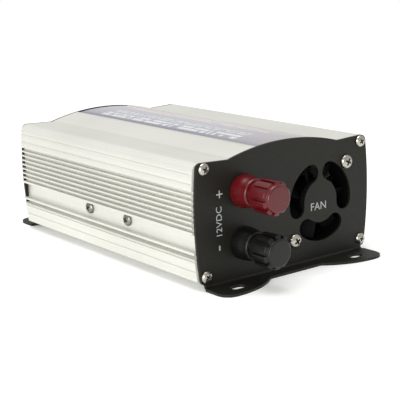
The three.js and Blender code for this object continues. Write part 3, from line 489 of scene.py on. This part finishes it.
def fan_plastic():
    # Matt black polyester of a small fan, dimmed below the black nylon as painted shade for the dark inside the
    # case, so it hardly shines in its duct.
    return toned("dusty_black_polyester", "black_nylon", 0.6, 0.7, 0.62, 0.06, grain=0.5,
                 height=0.006, mottle=8, Specular_IOR_Level=0.12)


def brass():
    # Drawn and turned brass, lightly tarnished.
    return toned("turned_brass", "brass", 1, 0.7, 0.28, 0.06, metallic=1, grain=0.6,
                 stretch=(1, 0.3, 1), height=0.006, mottle=7)


def copper():
    # Enamelled copper wire under clear varnish.
    return toned("enamelled_copper", "copper", 1, 0.65, 0.3, 0.06, metallic=1, grain=0.8,
                 height=0.01, mottle=5)


def screen_ink():
    # Two-part screen ink: an opaque, slightly grey white with a faint mesh grain.
    return toned("screen_printed_ink", "ink", 1, 0.85, 0.5, grain=0.4, height=0.004)


# ---------------- pieces


class INVERTER_OT_case(bpy.types.Operator):
    """Rounds the extruded cover's fins and the sheet that closes it below"""
    bl_idname = "inverter.case"
    bl_label = "Finned case"

    def execute(self, context):
        sizes = context.scene.inverter_sizes
        shell = copy_of("housing_shell", "case_extrusion")
        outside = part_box("housing_shell")[1].x - 7 * MM
        # Heights over the ground of the low groove's edges and of the fins'
        bands = ((10 * MM, 13.5 * MM), (16 * MM, 44 * MM))
        corner, shortest = math.radians(50), 5 * MM

        def fin(edge):
            start, end = (vert.co for vert in edge.verts)
            middle = (start + end) / 2
            return (edge.is_manifold and edge.calc_face_angle(0) > corner
                    and abs(start.y - end.y) > shortest and abs(middle.x) > outside
                    and any(low < middle.z < high for low, high in bands))

        with editing(shell, "EDGE"):
            choose(shell, "edges", fin)
            bpy.ops.mesh.bevel(offset=sizes.fin_rounding, segments=2, affect="EDGES",
                               clamp_overlap=True)
        hand_over(shaded(shell, 50), anodised(), "anodised_case", "case", "housing_shell")
        refined("base_plate", "base_sheet", anodised(), "anodised_case", sizes.groove_rounding)
        return {"FINISHED"}


class INVERTER_OT_plates(bpy.types.Operator):
    """Rounds the punched edges of the two bent end plates"""
    bl_idname = "inverter.plates"
    bl_label = "End plates"

    def execute(self, context):
        width = context.scene.inverter_sizes.sheet_rounding
        for end in ENDS:
            refined(f"{end}_plate", f"{end}_sheet", coating(), "coated_plate", width)
        return {"FINISHED"}


class INVERTER_OT_label(bpy.types.Operator):
    """Bends the printed film over the crown"""
    bl_idname = "inverter.label"
    bl_label = "Top label"

    def execute(self, context):
        sizes = context.scene.inverter_sizes
        thickness = 0.25 * MM
        low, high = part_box("top_label")
        crown = (sizes.crown_half_width ** 2 + sizes.crown_rise ** 2) / (2 * sizes.crown_rise)
        shell_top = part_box("front_plate")[1].z
        radius = high.z - (shell_top - crown)
        half = math.asin(high.x / radius)
        centre = Vector((0, 0, high.z - radius))
        start = centre + Vector((-radius * math.sin(half), low.y, radius * math.cos(half)))
        film = traced("label_film", start, [(0, high.y - low.y, 0)])
        with editing(film, "VERT", "SELECT"):
            bpy.ops.mesh.spin(steps=32, angle=2 * half, center=centre, axis=(0, -1, 0))
        outward(film)
        with editing(film, "VERT"):
            choose(film, "verts", lambda v: len(v.link_edges) == 2)
            bpy.ops.mesh.bevel(offset=sizes.label_corner, segments=4, affect="VERTICES")
        if film.data.polygons[0].normal.z < 0:
            film.data.flip_normals()
        modify(film, "SOLIDIFY", thickness=thickness, offset=-1)
        hand_over(shaded(film), printed_film(), "label_film", "case", "top_label")
        return {"FINISHED"}


def printed_film():
    # Printed polyester film: silvery lilac fading across the crown, under a thin gloss laminate that gives it a
    # soft sheen. The near-white stripe near the far edge is a painted highlight. The print replaces the plain tint
    # set here.
    material = finish("printed_polyester_film", linear("#C9C6D6"), linear("#B9B6CB"), 0.3, 0.04,
                      grain=1.5, height=0.003, mottle=35, Coat_Weight=0.4, Coat_Roughness=0.12)
    tree = material.node_tree
    shader = tree.nodes["Principled BSDF"]
    place = add_node(tree, "ShaderNodeTexCoord").outputs["Object"]
    axes = add_node(tree, "ShaderNodeSeparateXYZ", None, {"Vector": place})
    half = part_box("top_label")[1].x
    across = add_node(tree, "ShaderNodeMapRange", {"From Min": -half, "From Max": half},
                      {"Value": axes.outputs["X"]})
    bands = add_node(tree, "ShaderNodeValToRGB", None, {"Fac": across.outputs["Result"]})
    ramp = bands.color_ramp
    # Share of the film's width, and the colour from there on
    # The near-white stops from 0.925 to 0.96 are a painted highlight along the curve of the crown
    stops = ((0, "#5C5A6E"), (0.07, "#6A6879"), (0.16, "#8E8E9A"), (0.42, "#A2A4AC"),
             (0.72, "#ADABB1"), (0.84, "#BFB6B9"), (0.88, "#D2A9A5"), (0.91, "#CFAEAB"),
             (0.925, "#EDEBE7"), (0.96, "#EDEBE7"), (0.97, "#A9A4A8"))
    while len(ramp.elements) < len(stops):
        ramp.elements.new(0.5)
    for element, (position, code) in zip(ramp.elements, stops):
        element.position = position
        element.color = (*linear(code), 1)

    # The lilac warms to a smoky mauve towards the front end.
    clear_from, smoky_at, smoke_share = FRONT_Y + 55 * MM, FRONT_Y + 5 * MM, 0.55
    along = add_node(tree, "ShaderNodeMapRange", {"From Min": clear_from, "From Max": smoky_at},
                     {"Value": axes.outputs["Y"]})
    smoke = add_node(tree, "ShaderNodeMath", {1: smoke_share}, {0: along.outputs["Result"]},
                     operation="MULTIPLY")
    warmed = add_node(tree, "ShaderNodeMix", None, {0: smoke.outputs[0]}, data_type="RGBA")
    tree.links.new(bands.outputs["Color"], warmed.inputs[6])
    warmed.inputs[7].default_value = (*linear("#94898C"), 1)

    # Print stands as plain bars: cells along the film are filled or left open at random. Each row
    # has its middle across the film, its height and the length of its cells, in millimetres.
    ink = None
    left_open, bar_share, row_seed, ink_share = 0.22, 0.78, 17.3, 0.7
    print_middle, print_half = 6 * MM, 56 * MM
    rows = ((-10.6, 2.7, 1.9), (-7.2, 2.3, 1.5), (-3.4, 1.1, 1.1), (-0.8, 1.1, 1.1),
            (8.6, 1.4, 1.6))
    for index, (middle, tall, cell) in enumerate(rows):
        inside = add_node(tree, "ShaderNodeMath", {1: middle * MM, 2: tall / 2 * MM},
                          {0: axes.outputs["X"]}, operation="COMPARE")
        step = add_node(tree, "ShaderNodeMath", {1: cell * MM}, {0: axes.outputs["Y"]},
                        operation="DIVIDE")
        number = add_node(tree, "ShaderNodeMath", None, {0: step.outputs[0]}, operation="FLOOR")
        seed = add_node(tree, "ShaderNodeMath", {1: row_seed * index}, {0: number.outputs[0]},
                        operation="ADD")
        chance = add_node(tree, "ShaderNodeTexWhiteNoise", None, {"W": seed.outputs[0]},
                          noise_dimensions="1D")
        filled = add_node(tree, "ShaderNodeMath", {1: left_open}, {0: chance.outputs["Value"]},
                          operation="GREATER_THAN")
        part = add_node(tree, "ShaderNodeMath", None, {0: step.outputs[0]}, operation="FRACT")
        solid = add_node(tree, "ShaderNodeMath", {1: bar_share}, {0: part.outputs[0]},
                         operation="LESS_THAN")
        both = add_node(tree, "ShaderNodeMath", None,
                        {0: filled.outputs[0], 1: solid.outputs[0]}, operation="MULTIPLY")
        bar = add_node(tree, "ShaderNodeMath", None, {0: both.outputs[0], 1: inside.outputs[0]},
                       operation="MULTIPLY")
        ink = bar if ink is None else add_node(
            tree, "ShaderNodeMath", None, {0: ink.outputs[0], 1: bar.outputs[0]},
            operation="MAXIMUM")
    ends = add_node(tree, "ShaderNodeMath", {1: print_middle, 2: print_half},
                    {0: axes.outputs["Y"]}, operation="COMPARE")
    weight = add_node(tree, "ShaderNodeMath", None, {0: ink.outputs[0], 1: ends.outputs[0]},
                      operation="MULTIPLY")
    soft = add_node(tree, "ShaderNodeMath", {1: ink_share}, {0: weight.outputs[0]},
                    operation="MULTIPLY")
    mixed = add_node(tree, "ShaderNodeMix", None, {0: soft.outputs[0]}, data_type="RGBA")
    tree.links.new(warmed.outputs[2], mixed.inputs[6])
    mixed.inputs[7].default_value = (*linear("#F1F1EE"), 1)
    tree.links.new(mixed.outputs[2], shader.inputs["Base Color"])
    return material


class INVERTER_OT_legends(bpy.types.Operator):
    """Prints the plain legends on the front plate"""
    bl_idname = "inverter.legends"
    bl_label = "Legends"

    def execute(self, context):
        sizes = context.scene.inverter_sizes
        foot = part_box("base_plate")[0].z - 0.7 * MM       # the case's bottom edge
        sunk = 0.01 * MM
        # Text, quarter turns, then left, right, bottom and top in millimetres from that edge
        plan = {
            "legend_plus": ("+", 1, -39.2, -35.9, 35.2, 38.5),
            "legend_voltage": ("12VDC", 1, -39.6, -36.6, 18.7, 31.5),
            "legend_minus": ("-", 1, -38.5, -37.8, 12.2, 14.4),
            "legend_fan": ("FAN", 0, 14.8, 24.1, 20.5, 24.0),
        }
        for name, (text, turns, left, right, bottom, top) in plan.items():
            bpy.ops.object.text_add(location=(0, 0, 0))
            obj = bpy.context.object
            obj.name = name
            obj.data.body = text
            obj.data.resolution_u = 6
            pick(obj)
            bpy.ops.object.convert(target="MESH")
            obj = bpy.context.object
            obj.data.transform(Matrix.Rotation(math.pi / 2, 4, "X")
                               @ Matrix.Rotation(turns * math.pi / 2, 4, "Z"))
            low = [min(v.co[i] for v in obj.data.vertices) for i in (0, 2)]
            high = [max(v.co[i] for v in obj.data.vertices) for i in (0, 2)]
            target = [(left * MM, right * MM), (foot + bottom * MM, foot + top * MM)]
            stretch = [(b - a) / (h - l) for (a, b), l, h in zip(target, low, high)]
            shift = [a - l * s for (a, b), l, s in zip(target, low, stretch)]
            obj.data.transform(
                Matrix.Translation((shift[0], FRONT_Y + sunk, shift[1]))
                @ Matrix.Diagonal((stretch[0], 1, stretch[1], 1)))
            with editing(obj, "VERT", "SELECT"):
                bpy.ops.mesh.remove_doubles(threshold=WELD / 2)
                bpy.ops.mesh.extrude_region_move(
                    TRANSFORM_OT_translate={"value": (0, -sizes.legend_height - sunk, 0)})
                bpy.ops.mesh.select_all(action="SELECT")
                bpy.ops.mesh.normals_make_consistent(inside=False)
            hand_over(obj, screen_ink(), "label_film", "case")
        return {"FINISHED"}


def pan_screw(name, head_radius, shank_radius, shank_length, pitch, plating):
    """A cross-recessed pan head screw along Y: its seat at Y 0 and its head towards -Y."""
    tall = head_radius * HEAD_SHARE
    crown = [(0, -tall), (0.34, -0.985 * tall), (0.6, -0.9 * tall), (0.8, -0.74 * tall),
             (0.93, -0.52 * tall), (0.99, -0.3 * tall), (1, -0.12 * tall), (0.97, 0)]
    profile = [(share * head_radius, y) for share, y in crown]
    core, stub = shank_radius * 0.7, 0.4 * MM
    profile += [(core, 0), (core, stub), (0, stub)]
    head = spun(name, profile, 40)
    # The recess is a cross that narrows towards its point
    half, reach, narrowed = head_radius * 0.19, head_radius * 0.47, 0.42
    tool = cube("recess", (-half, -tall - MM, -half), (half, -tall * 0.12, half))
    with editing(tool):
        choose(tool, "faces", lambda f: abs(f.normal.y) < 0.5)
        bpy.ops.mesh.extrude_faces_move(TRANSFORM_OT_shrink_fatten={"value": reach})
    with editing(tool, "VERT"):
        choose(tool, "verts", lambda v: v.co.y > -tall * 0.5)
        bpy.ops.transform.resize(value=(narrowed, 1, narrowed), center_override=(0, 0, 0))
    combine(head, tool, "DIFFERENCE")
    rounded(head, head_radius * 0.03, 2, 35)
    shaded(head, 50)
    head.data.materials.append(plating)
    head.data.materials.append(recess_nickel_painted_shade())
    # The painted shade goes on the recess's walls and floor, which lie under the crown and well inside the head
    for face in head.data.polygons:
        x, y, z = face.center
        if math.hypot(x, z) < half + reach and -0.84 * tall < y < -0.05 * tall:
            face.material_index = 1
    shank = threaded("shank", shank_radius, pitch, SEAT, shank_length, 16)
    shank.data.materials.append(plating)
    pick(shank)
    bpy.ops.object.shade_flat()
    return joined([head, shank], name)


class INVERTER_OT_screws(bpy.types.Operator):
    """Drives the corner, fan and side screws"""
    bl_idname = "inverter.screws"
    bl_label = "Screws"

    def execute(self, context):
        pitch = context.scene.inverter_sizes.screw_pitch
        corners = [f"{end}_screw_{row}_{side}" for end in ENDS for row in ROWS for side in SIDES]
        walls = [f"side_screw_{side}_{end}" for side in SIDES for end in ENDS]
        kinds = {
            "corner": (corners, CASE_SHANK, nickel()),
            "fan": ([f"fan_screw_{row}" for row in ROWS], FAN_SHANK, nickel()),
            # The side screws take the nickel darkened as painted shade
            "side": (walls, CASE_SHANK, side_screw_nickel_painted_shade()),
        }
        # Where each screw's cross came to rest, in degrees
        turns = (24, 61, 40, 12, 75, 33, 50, 5)
        for kind, (nodes, shank_radius, plating) in kinds.items():
            low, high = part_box(nodes[0])
            size = high - low
            across = size.x if kind == "fan" else size.z
            head_radius = across / 2
            tall = head_radius * HEAD_SHARE
            along = max(size.x, size.y) - tall
            model = pan_screw(f"{kind}_screw", head_radius, shank_radius, along, pitch, plating)
            for node, degrees in zip(nodes, turns):
                low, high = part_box(node)
                seat = (low + high) / 2
                if kind == "side":
                    side = math.copysign(1, seat.x)
                    seat.x = side * (max(abs(low.x), abs(high.x)) - tall)
                    facing = Matrix.Rotation(side * math.pi / 2, 4, "Z")
                else:
                    rear = seat.y > 0
                    seat.y = high.y - tall if rear else low.y + tall
                    facing = Matrix.Rotation(math.pi if rear else 0, 4, "Z")
                turn = Matrix.Rotation(math.radians(degrees), 4, "Y")
                screw = twin(model, f"{node}_driven", Matrix.Translation(seat) @ facing @ turn)
                hand_over(screw, plating, "nickel_screw", BODY_OF[node], node)
            bpy.data.objects.remove(model)
        return {"FINISHED"}


def post_collar(name, sizes, tall):
    """The insulating collar, flared towards the plate, its seat at Y 0."""
    foot, lip, back = sizes.collar_radius, sizes.collar_lip, SHEET - SLIP
    spigot, mouth, bore = 5 * MM, 4.35 * MM, sizes.stud_radius + SLIP
    pocket = -tall + 1.35 * MM
    # The flank: shares of the flare from foot to lip, and of the collar's height
    flank = ((0, 0.22), (0.06, 0.34), (0.16, 0.46), (0.31, 0.57), (0.5, 0.67), (0.64, 0.76),
             (0.7, 0.85), (0.74, 0.92), (0.9, 0.965))
    profile = [
        (spigot, back), (spigot, -SEAT), (foot - 0.35 * MM, -SEAT), (foot - 0.08 * MM, -0.3 * MM),
        (foot, -0.9 * MM), *((foot - flare * (foot - lip), -rise * tall) for flare, rise in flank),
        (lip - 0.15 * MM, -0.99 * tall), (lip - 0.5 * MM, -tall), (mouth + 0.25 * MM, -tall),
        (mouth, -tall + 0.25 * MM), (mouth, pocket), (bore, pocket), (bore, back),
    ]
    return shaded(spun(name, profile, 72, ring=True), 42)


def post_cap(name, sizes, tall):
    """The ribbed cap with its blind bore, its face at Y 0 and its open end at Y tall."""
    core, ribs = sizes.cap_core, sizes.cap_ribs
    rib_front, rib_back = 1.35 * MM, tall - 2.9 * MM
    bore = sizes.stud_radius + SLIP
    profile = [
        (0, 0), (core - 1.0 * MM, 0), (core - 0.62 * MM, 0.06 * MM), (core - 0.3 * MM, 0.22 * MM),
        (core - 0.08 * MM, 0.5 * MM), (core, 0.85 * MM), (core, rib_front), (core, rib_back),
        (core, tall - 0.75 * MM), (core - 0.1 * MM, tall - 0.35 * MM), (core - 0.4 * MM, tall),
        (bore, tall), (bore, 2.3 * MM), (0, 1.7 * MM),
    ]
    cell, ridge = 8, 5              # steps from rib to rib, and across one rib
    rib_edge = 0.17 * MM
    cap = spun(name, profile, cell * ribs)

    def in_rib(face):
        middle = face.calc_center_median()
        if not rib_front < middle.y < rib_back or math.hypot(middle.x, middle.z) < core * 0.9:
            return False
        place = math.degrees(math.atan2(middle.z, middle.x)) / (360 / ribs) % 1
        return abs(place - 0.5) < ridge / cell / 2

    with editing(cap):
        choose(cap, "faces", in_rib)
        bpy.ops.mesh.extrude_region_shrink_fatten(
            TRANSFORM_OT_shrink_fatten={"value": sizes.cap_rib})

    def on_crest(vert):
        return math.hypot(vert.co.x, vert.co.z) > core + 0.8 * sizes.cap_rib

    # The ribs' crests end short of their feet, more so at the end that shows
    for end, lean in ((rib_front, 0.55 * MM), (rib_back, -0.25 * MM)):
        with editing(cap, "VERT"):
            choose(cap, "verts", lambda v: on_crest(v) and abs(v.co.y - end) < MM)
            bpy.ops.transform.translate(value=(0, lean, 0))
    rounded(cap, rib_edge, 2, 40)
    return shaded(cap, 42)


class INVERTER_OT_posts(bpy.types.Operator):
    """Turns the two binding posts with their studs, washers, bushes and nuts"""
    bl_idname = "inverter.posts"
    bl_label = "Binding posts"

    def execute(self, context):
        sizes = context.scene.inverter_sizes
        plastics = {"positive": (red_nylon(), "red_plastic"),
                    "negative": (black_nylon(), "black_plastic")}
        collar_tall = FRONT_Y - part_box("positive_collar")[0].y
        cap_low, cap_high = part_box("positive_cap")
        washer_low, washer_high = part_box("positive_clamp_washer")
        stud_low, stud_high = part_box("positive_stud")
        collar = post_collar("collar", sizes, collar_tall)
        cap = post_cap("cap", sizes, cap_high.y - cap_low.y)
        thick = washer_high.y - washer_low.y
        wide = (washer_high.x - washer_low.x) / 2
        bore = sizes.stud_radius + SLIP
        edge = sizes.fine_rounding
        washer = shaded(spun("washer", [
            (bore, 0), (bore, thick), (wide - edge, thick), (wide, thick - edge), (wide, edge),
            (wide - edge, 0)], 56, ring=True))
        flange_radius, flange_thick = 4.25 * MM, 1.3 * MM
        flange_back = -collar_tall + flange_thick
        stud = threaded("stud", sizes.stud_radius, sizes.stud_pitch, stud_low.y - FRONT_Y,
                        stud_high.y - FRONT_Y, 24)
        flange = rod("flange", flange_radius, flange_back - flange_thick, flange_back, 40)
        combine(stud, flange, "UNION")
        pick(stud)
        bpy.ops.object.shade_smooth_by_angle(angle=math.radians(25))
        for name, (plastic, slot) in plastics.items():
            low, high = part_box(f"{name}_stud")
            axis = Vector(((low.x + high.x) / 2, 0, (low.z + high.z) / 2))
            at = {
                "collar": (collar, FRONT_Y, plastic, slot),
                "cap": (cap, cap_low.y, plastic, slot),
                "clamp_washer": (washer, washer_low.y, nickel(), "nickel_screw"),
                "stud": (stud, FRONT_Y, brass(), "brass"),
            }
            for part, (model, y, material, part_slot) in at.items():
                node = f"{name}_{part}"
                obj = twin(model, f"{node}_turned", Matrix.Translation(axis + Vector((0, y, 0))))
                hand_over(obj, material, part_slot, BODY_OF[node], node)
            refined(f"{name}_inner_bush", f"{name}_bush_moulded", plastic, slot, edge)
            refined(f"{name}_nut", f"{name}_nut_forged", nickel(), "nickel_screw", edge)
            refined(f"{name}_lead", f"{name}_lead_wire", plastic, slot, METAL_EDGE / 2, 1)
        for model in (collar, cap, washer, stud):
            bpy.data.objects.remove(model)
        return {"FINISHED"}


class INVERTER_OT_fan(bpy.types.Operator):
    """Moulds the fan's frame and its rotor with cambered blades"""
    bl_idname = "inverter.fan"
    bl_label = "Cooling fan"

    def execute(self, context):
        sizes = context.scene.inverter_sizes
        frame_edge, blade_edge, winding_edge = 0.25 * MM, 0.3 * MM, 0.2 * MM
        refined("fan_frame", "fan_frame_moulded", fan_plastic(), "black_plastic", frame_edge)
        low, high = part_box("fan_rotor")
        frame_low, frame_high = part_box("fan_frame")
        centre = (frame_low + frame_high) / 2
        tall = high.y - low.y
        tip = min(high.x - centre.x, high.z - centre.z)
        hub, wall, bore, fillet = 9.8 * MM, 1.2 * MM, 1.05 * MM, 0.4 * MM
        cup = spun("fan_rotor_moulded", [
            (bore, 0), (hub - 1.3 * MM, 0), (hub - 0.5 * MM, 0.2 * MM),
            (hub - 0.12 * MM, 0.6 * MM), (hub, 1.2 * MM), (hub, tall), (hub - wall, tall),
            (hub - wall, wall + fillet), (hub - wall - fillet, wall), (bore, wall)], 56, ring=True)
        blades, pitch = 7, math.radians(90 - 52)
        # A blade starts inside the hub's wall and ends past the tip circle that trims it
        chord, thick, root, past = 7.6 * MM, 0.85 * MM, 0.7 * MM, 0.5 * MM
        reach = tip - hub + root + past
        bpy.ops.mesh.primitive_grid_add(x_subdivisions=8, y_subdivisions=8, size=1)
        blade = bpy.context.object
        blade.scale = (reach, chord, 1)
        settle(blade)
        for method, bend in (("BEND", sizes.blade_camber), ("TWIST", -sizes.blade_twist)):
            modify(blade, "SIMPLE_DEFORM", deform_method=method, deform_axis="X", angle=bend)
        modify(blade, "SOLIDIFY", thickness=thick, offset=0)
        rounded(blade, blade_edge, 2, 40)
        setback = 0.2 * MM
        for index in range(blades):
            place = (Matrix.Rotation(2 * math.pi * index / blades, 4, "Y")
                     @ Matrix.Translation((hub - root + reach / 2, tall / 2 + setback, 0))
                     @ Matrix.Rotation(pitch, 4, "X")
                     @ Matrix.Rotation(math.radians(90), 4, "X"))
            combine(cup, twin(blade, "blade", place), "UNION")
        bpy.data.objects.remove(blade)
        skim = 0.02 * MM
        trim = rod("trim", tip, skim, tall - skim, 96)
        combine(cup, trim, "INTERSECT")
        cup.data.transform(Matrix.Translation((centre.x, low.y, centre.z)))
        shaded(cup, 35)
        hand_over(cup, fan_plastic(), "black_plastic", BODY_OF["fan_rotor"], "fan_rotor")
        # Centreless-ground steel: bright, with fine rings round the shaft
        steel = finish("ground_steel", linear("#B9BABB"), linear("#8E8F91"), 0.25, metallic=1,
                       grain=0.5, stretch=(1, 0.3, 1), height=0.004)
        refined("fan_shaft", "fan_shaft_ground", steel, "steel", METAL_EDGE)
        refined("fan_bearing", "fan_bearing_sintered", brass(), "brass", METAL_EDGE)
        refined("fan_stator", "fan_stator_wound", copper(), "copper", winding_edge)
        return {"FINISHED"}


class INVERTER_OT_outlet(bpy.types.Operator):
    """Moulds the mains outlet and springs its contacts"""
    bl_idname = "inverter.outlet"
    bl_label = "Mains outlet"

    def execute(self, context):
        sizes = context.scene.inverter_sizes
        refined("outlet_body", "outlet_moulding", black_nylon(), "black_plastic",
                sizes.moulded_rounding, 3)
        for side in SIDES:
            refined(f"outlet_contact_{side}", f"outlet_tube_{side}", brass(), "brass", METAL_EDGE)
        refined("outlet_earth_strip", "outlet_earth_spring", brass(), "brass",
                sizes.fine_rounding)
        return {"FINISHED"}


class INVERTER_OT_switch(bpy.types.Operator):
    """Moulds the rocker switch and marks its rocker"""
    bl_idname = "inverter.switch"
    bl_label = "Rocker switch"

    def execute(self, context):
        width = context.scene.inverter_sizes.moulded_rounding
        for node, name in (("switch_body", "switch_bezel"), ("switch_rocker", "switch_paddle")):
            refined(node, name, black_nylon(), "black_plastic", width, 3)
        pivot = Vector(next(j["pos_m"] for j in frame["joints"] if j["name"] == "switch_rock"))
        off = math.radians(-10)         # the rocker's lean at rest
        tilt = Matrix.Translation(pivot) @ Matrix.Rotation(off, 4, "X")
        slope = math.atan2(1.0, 7.6)    # of each half of the rocker's dished face
        under, over = -0.02 * MM, 0.03 * MM
        half_line, half_bar = 0.3 * MM, 1.5 * MM
        inner, outer = 1.15 * MM, 1.6 * MM
        face, out = 3.0 * MM, 4.6 * MM  # a mark's middle, from the pivot
        bar = cube("switch_mark_on", (-half_line, under, -half_bar), (half_line, over, half_bar))
        dial = spun("switch_mark_off", [(inner, under), (inner, over), (outer, over),
                                        (outer, under)], 40, ring=True)
        for mark, side in ((bar, -1), (dial, 1)):
            mark.data.transform(tilt @ Matrix.Translation((0, face, side * out))
                                @ Matrix.Rotation(-side * slope, 4, "X"))
            rounded(mark, over / 3, 1)
            hand_over(mark, screen_ink(), "label_film", BODY_OF["switch_rocker"])
        return {"FINISHED"}


class INVERTER_OT_lamps(bpy.types.Operator):
    """Seats the two indicator lamps"""
    bl_idname = "inverter.lamps"
    bl_label = "Indicator lamps"

    def execute(self, context):
        tints = {"power": ("#35A84F", "green_lens"), "fault": ("#C02020", "red_lens")}
        for name, (code, slot) in tints.items():
            # Moulded polycarbonate: tinted through, so it is partly clear under a glossy skin.
            lens = finish(f"{name}_lens_polycarbonate", linear(code), darker(linear(code), 0.7),
                          0.12, 0.03, grain=0.9, height=0.01, Transmission_Weight=0.25,
                          Coat_Weight=0.5)
            refined(f"{name}_lamp", f"{name}_lens", lens, slot, CASED_EDGE)
        return {"FINISHED"}


class INVERTER_OT_electronics(bpy.types.Operator):
    """Finishes the board and what stands on it"""
    bl_idname = "inverter.electronics"
    bl_label = "Electronics"

    def execute(self, context):
        # Glossy solder mask on glass laminate, matt fired ferrite, wound yellow tape, shrunk
        # vinyl sleeves, clear moulded fuse plastic and zinc-plated bar
        laminate = finish("solder_masked_laminate", linear("#1F6B35"), linear("#164F28"), 0.35,
                          grain=2.2, height=0.02, mottle=14)
        ferrite = finish("sintered_ferrite", linear("#3C3C3F"), linear("#28282A"), 0.62, grain=0.5,
                         height=0.03)
        tape = finish("polyester_coil_tape", linear("#D9B240"), linear("#B8922E"), 0.35, grain=1.1,
                      stretch=(8, 8, 1), height=0.02)
        sleeve = finish("shrunk_can_sleeve", linear("#20264A"), linear("#161A36"), 0.3, grain=3,
                        height=0.01)
        fuse = finish("translucent_fuse_plastic", linear("#D9641C"), linear("#B44E14"), 0.3,
                      grain=1, height=0.01, Transmission_Weight=0.2)
        steel = finish("zinc_plated_bar", linear("#A9ABAD"), linear("#808385"), 0.35, metallic=1,
                       grain=1.2, height=0.01)
        plan = {
            "circuit_board": ("board_laminate_sheet", laminate, "board_laminate"),
            "transformer_core": ("transformer_ferrite", ferrite, "ferrite"),
            "transformer_winding": ("transformer_coil", tape, "coil_tape"),
            "output_choke": ("choke_toroid", copper(), "copper"),
            "bus_capacitor": ("bus_can", sleeve, "can_sleeve"),
            "input_capacitor": ("input_can", sleeve, "can_sleeve"),
            "blade_fuse": ("fuse_blade", fuse, "fuse_plastic"),
        }
        for side in SIDES:
            plan[f"clamp_bar_{side}"] = (f"clamp_bar_{side}_plated", steel, "steel")
            for end in ENDS:
                plan[f"transistor_{side}_{end}"] = (
                    f"transistor_{side}_{end}_cased", black_nylon(), "black_plastic")
        for node, (name, material, slot) in plan.items():
            refined(node, name, material, slot, CASED_EDGE)
        return {"FINISHED"}


class INVERTER_OT_stage(bpy.types.Operator):
    """Sets the floor, the soft boxes and the camera"""
    bl_idname = "inverter.stage"
    bl_label = "Stage"

    def execute(self, context):
        scene = context.scene
        stage = scene.inverter_stage
        floor_radius, nearest = 0.7, 0.01       # in metres; the nearest the camera sees
        bpy.ops.mesh.primitive_circle_add(
            vertices=96, radius=floor_radius, fill_type="NGON", location=(0, 0, CAD_BOX[0][2]))
        floor = added("studio_floor")
        tone = scene.inverter_colours.floor
        # Matt paper sweep: pale, even, with a little light coming through it
        floor.data.materials.append(finish(
            "matt_paper_sweep", tone, darker(tone, 0.985), 0.9, 0.02, grain=3, height=0,
            mottle=200, Specular_IOR_Level=0.1, Emission_Color=(1, 1, 1, 1),
            Emission_Strength=stage.paper))

        # The camera sees pure white round the floor, and the object is lit by a dimmer room
        world = bpy.data.worlds.new("white_room")
        world.use_nodes = True
        tree = world.node_tree
        background = tree.nodes["Background"]
        seen = add_node(tree, "ShaderNodeLightPath").outputs["Is Camera Ray"]
        strength = add_node(tree, "ShaderNodeMapRange", {"To Min": stage.room, "To Max": 1.0},
                            {"Value": seen})
        background.inputs["Color"].default_value = (1, 1, 1, 1)
        tree.links.new(strength.outputs["Result"], background.inputs["Strength"])
        scene.world = world

        # Place and width in metres, and power
        boxes = {
            "side_box": ((-1.12, -0.62, 0.2), 0.9, stage.side),
            "top_box": ((-0.1, 0.1, 1.2), 0.9, stage.top),
        }
        for name, (place, size, power) in boxes.items():
            data = bpy.data.lights.new(name, "AREA")
            data.shape = "DISK"
            data.size = size
            data.energy = power
            lamp = bpy.data.objects.new(name, data)
            lamp.location = place
            lamp.rotation_euler = Vector(place).to_track_quat("Z", "Y").to_euler()
            lamp.visible_camera = False
            scene.collection.objects.link(lamp)

        data = bpy.data.cameras.new("camera")
        data.lens = stage.lens
        data.sensor_width = stage.sensor
        data.clip_start = nearest
        camera = bpy.data.objects.new("camera", data)
        camera.matrix_world = (
            Matrix.Translation(stage.aim) @ Matrix.Rotation(stage.azimuth, 4, "Z")
            @ Matrix.Rotation(math.pi / 2 - stage.elevation, 4, "X")
            @ Matrix.Rotation(stage.roll, 4, "Z") @ Matrix.Translation((0, 0, stage.distance)))
        scene.collection.objects.link(camera)
        scene.camera = camera
        scene.view_settings.view_transform = "Standard"
        return {"FINISHED"}


class INVERTER_PT_sidebar(bpy.types.Panel):
    """Lists the pieces in building order"""
    bl_idname = "INVERTER_PT_sidebar"
    bl_label = "Power inverter"
    bl_space_type = "VIEW_3D"
    bl_region_type = "UI"
    bl_category = "Inverter"

    def draw(self, context):
        for operator in STEPS:
            self.layout.operator(operator.bl_idname)
        for group in (context.scene.inverter_sizes, context.scene.inverter_colours,
                      context.scene.inverter_stage):
            column = self.layout.column()
            for name in group.bl_rna.properties.keys():
                if name not in ("rna_type", "name"):
                    column.prop(group, name)


STEPS = (
    INVERTER_OT_case, INVERTER_OT_plates, INVERTER_OT_label, INVERTER_OT_legends,
    INVERTER_OT_screws, INVERTER_OT_posts, INVERTER_OT_fan, INVERTER_OT_outlet,
    INVERTER_OT_switch, INVERTER_OT_lamps, INVERTER_OT_electronics, INVERTER_OT_stage,
)
GROUPS = {
    "inverter_sizes": InverterSizes, "inverter_colours": InverterColours,
    "inverter_stage": InverterStage,
}


def register():
    for cls in (*GROUPS.values(), *STEPS, INVERTER_PT_sidebar):
        bpy.utils.register_class(cls)
    for name, group in GROUPS.items():
        setattr(bpy.types.Scene, name, bpy.props.PointerProperty(type=group))


def unregister():
    for name in GROUPS:
        delattr(bpy.types.Scene, name)
    for cls in reversed((*GROUPS.values(), *STEPS, INVERTER_PT_sidebar)):
        bpy.utils.unregister_class(cls)


def main():
    register()
    bpy.ops.object.select_all(action="DESELECT")
    for step in STEPS:
        family, name = step.bl_idname.split(".")
        getattr(getattr(bpy.ops, family), name)()


if __name__ == "__main__":
    main()
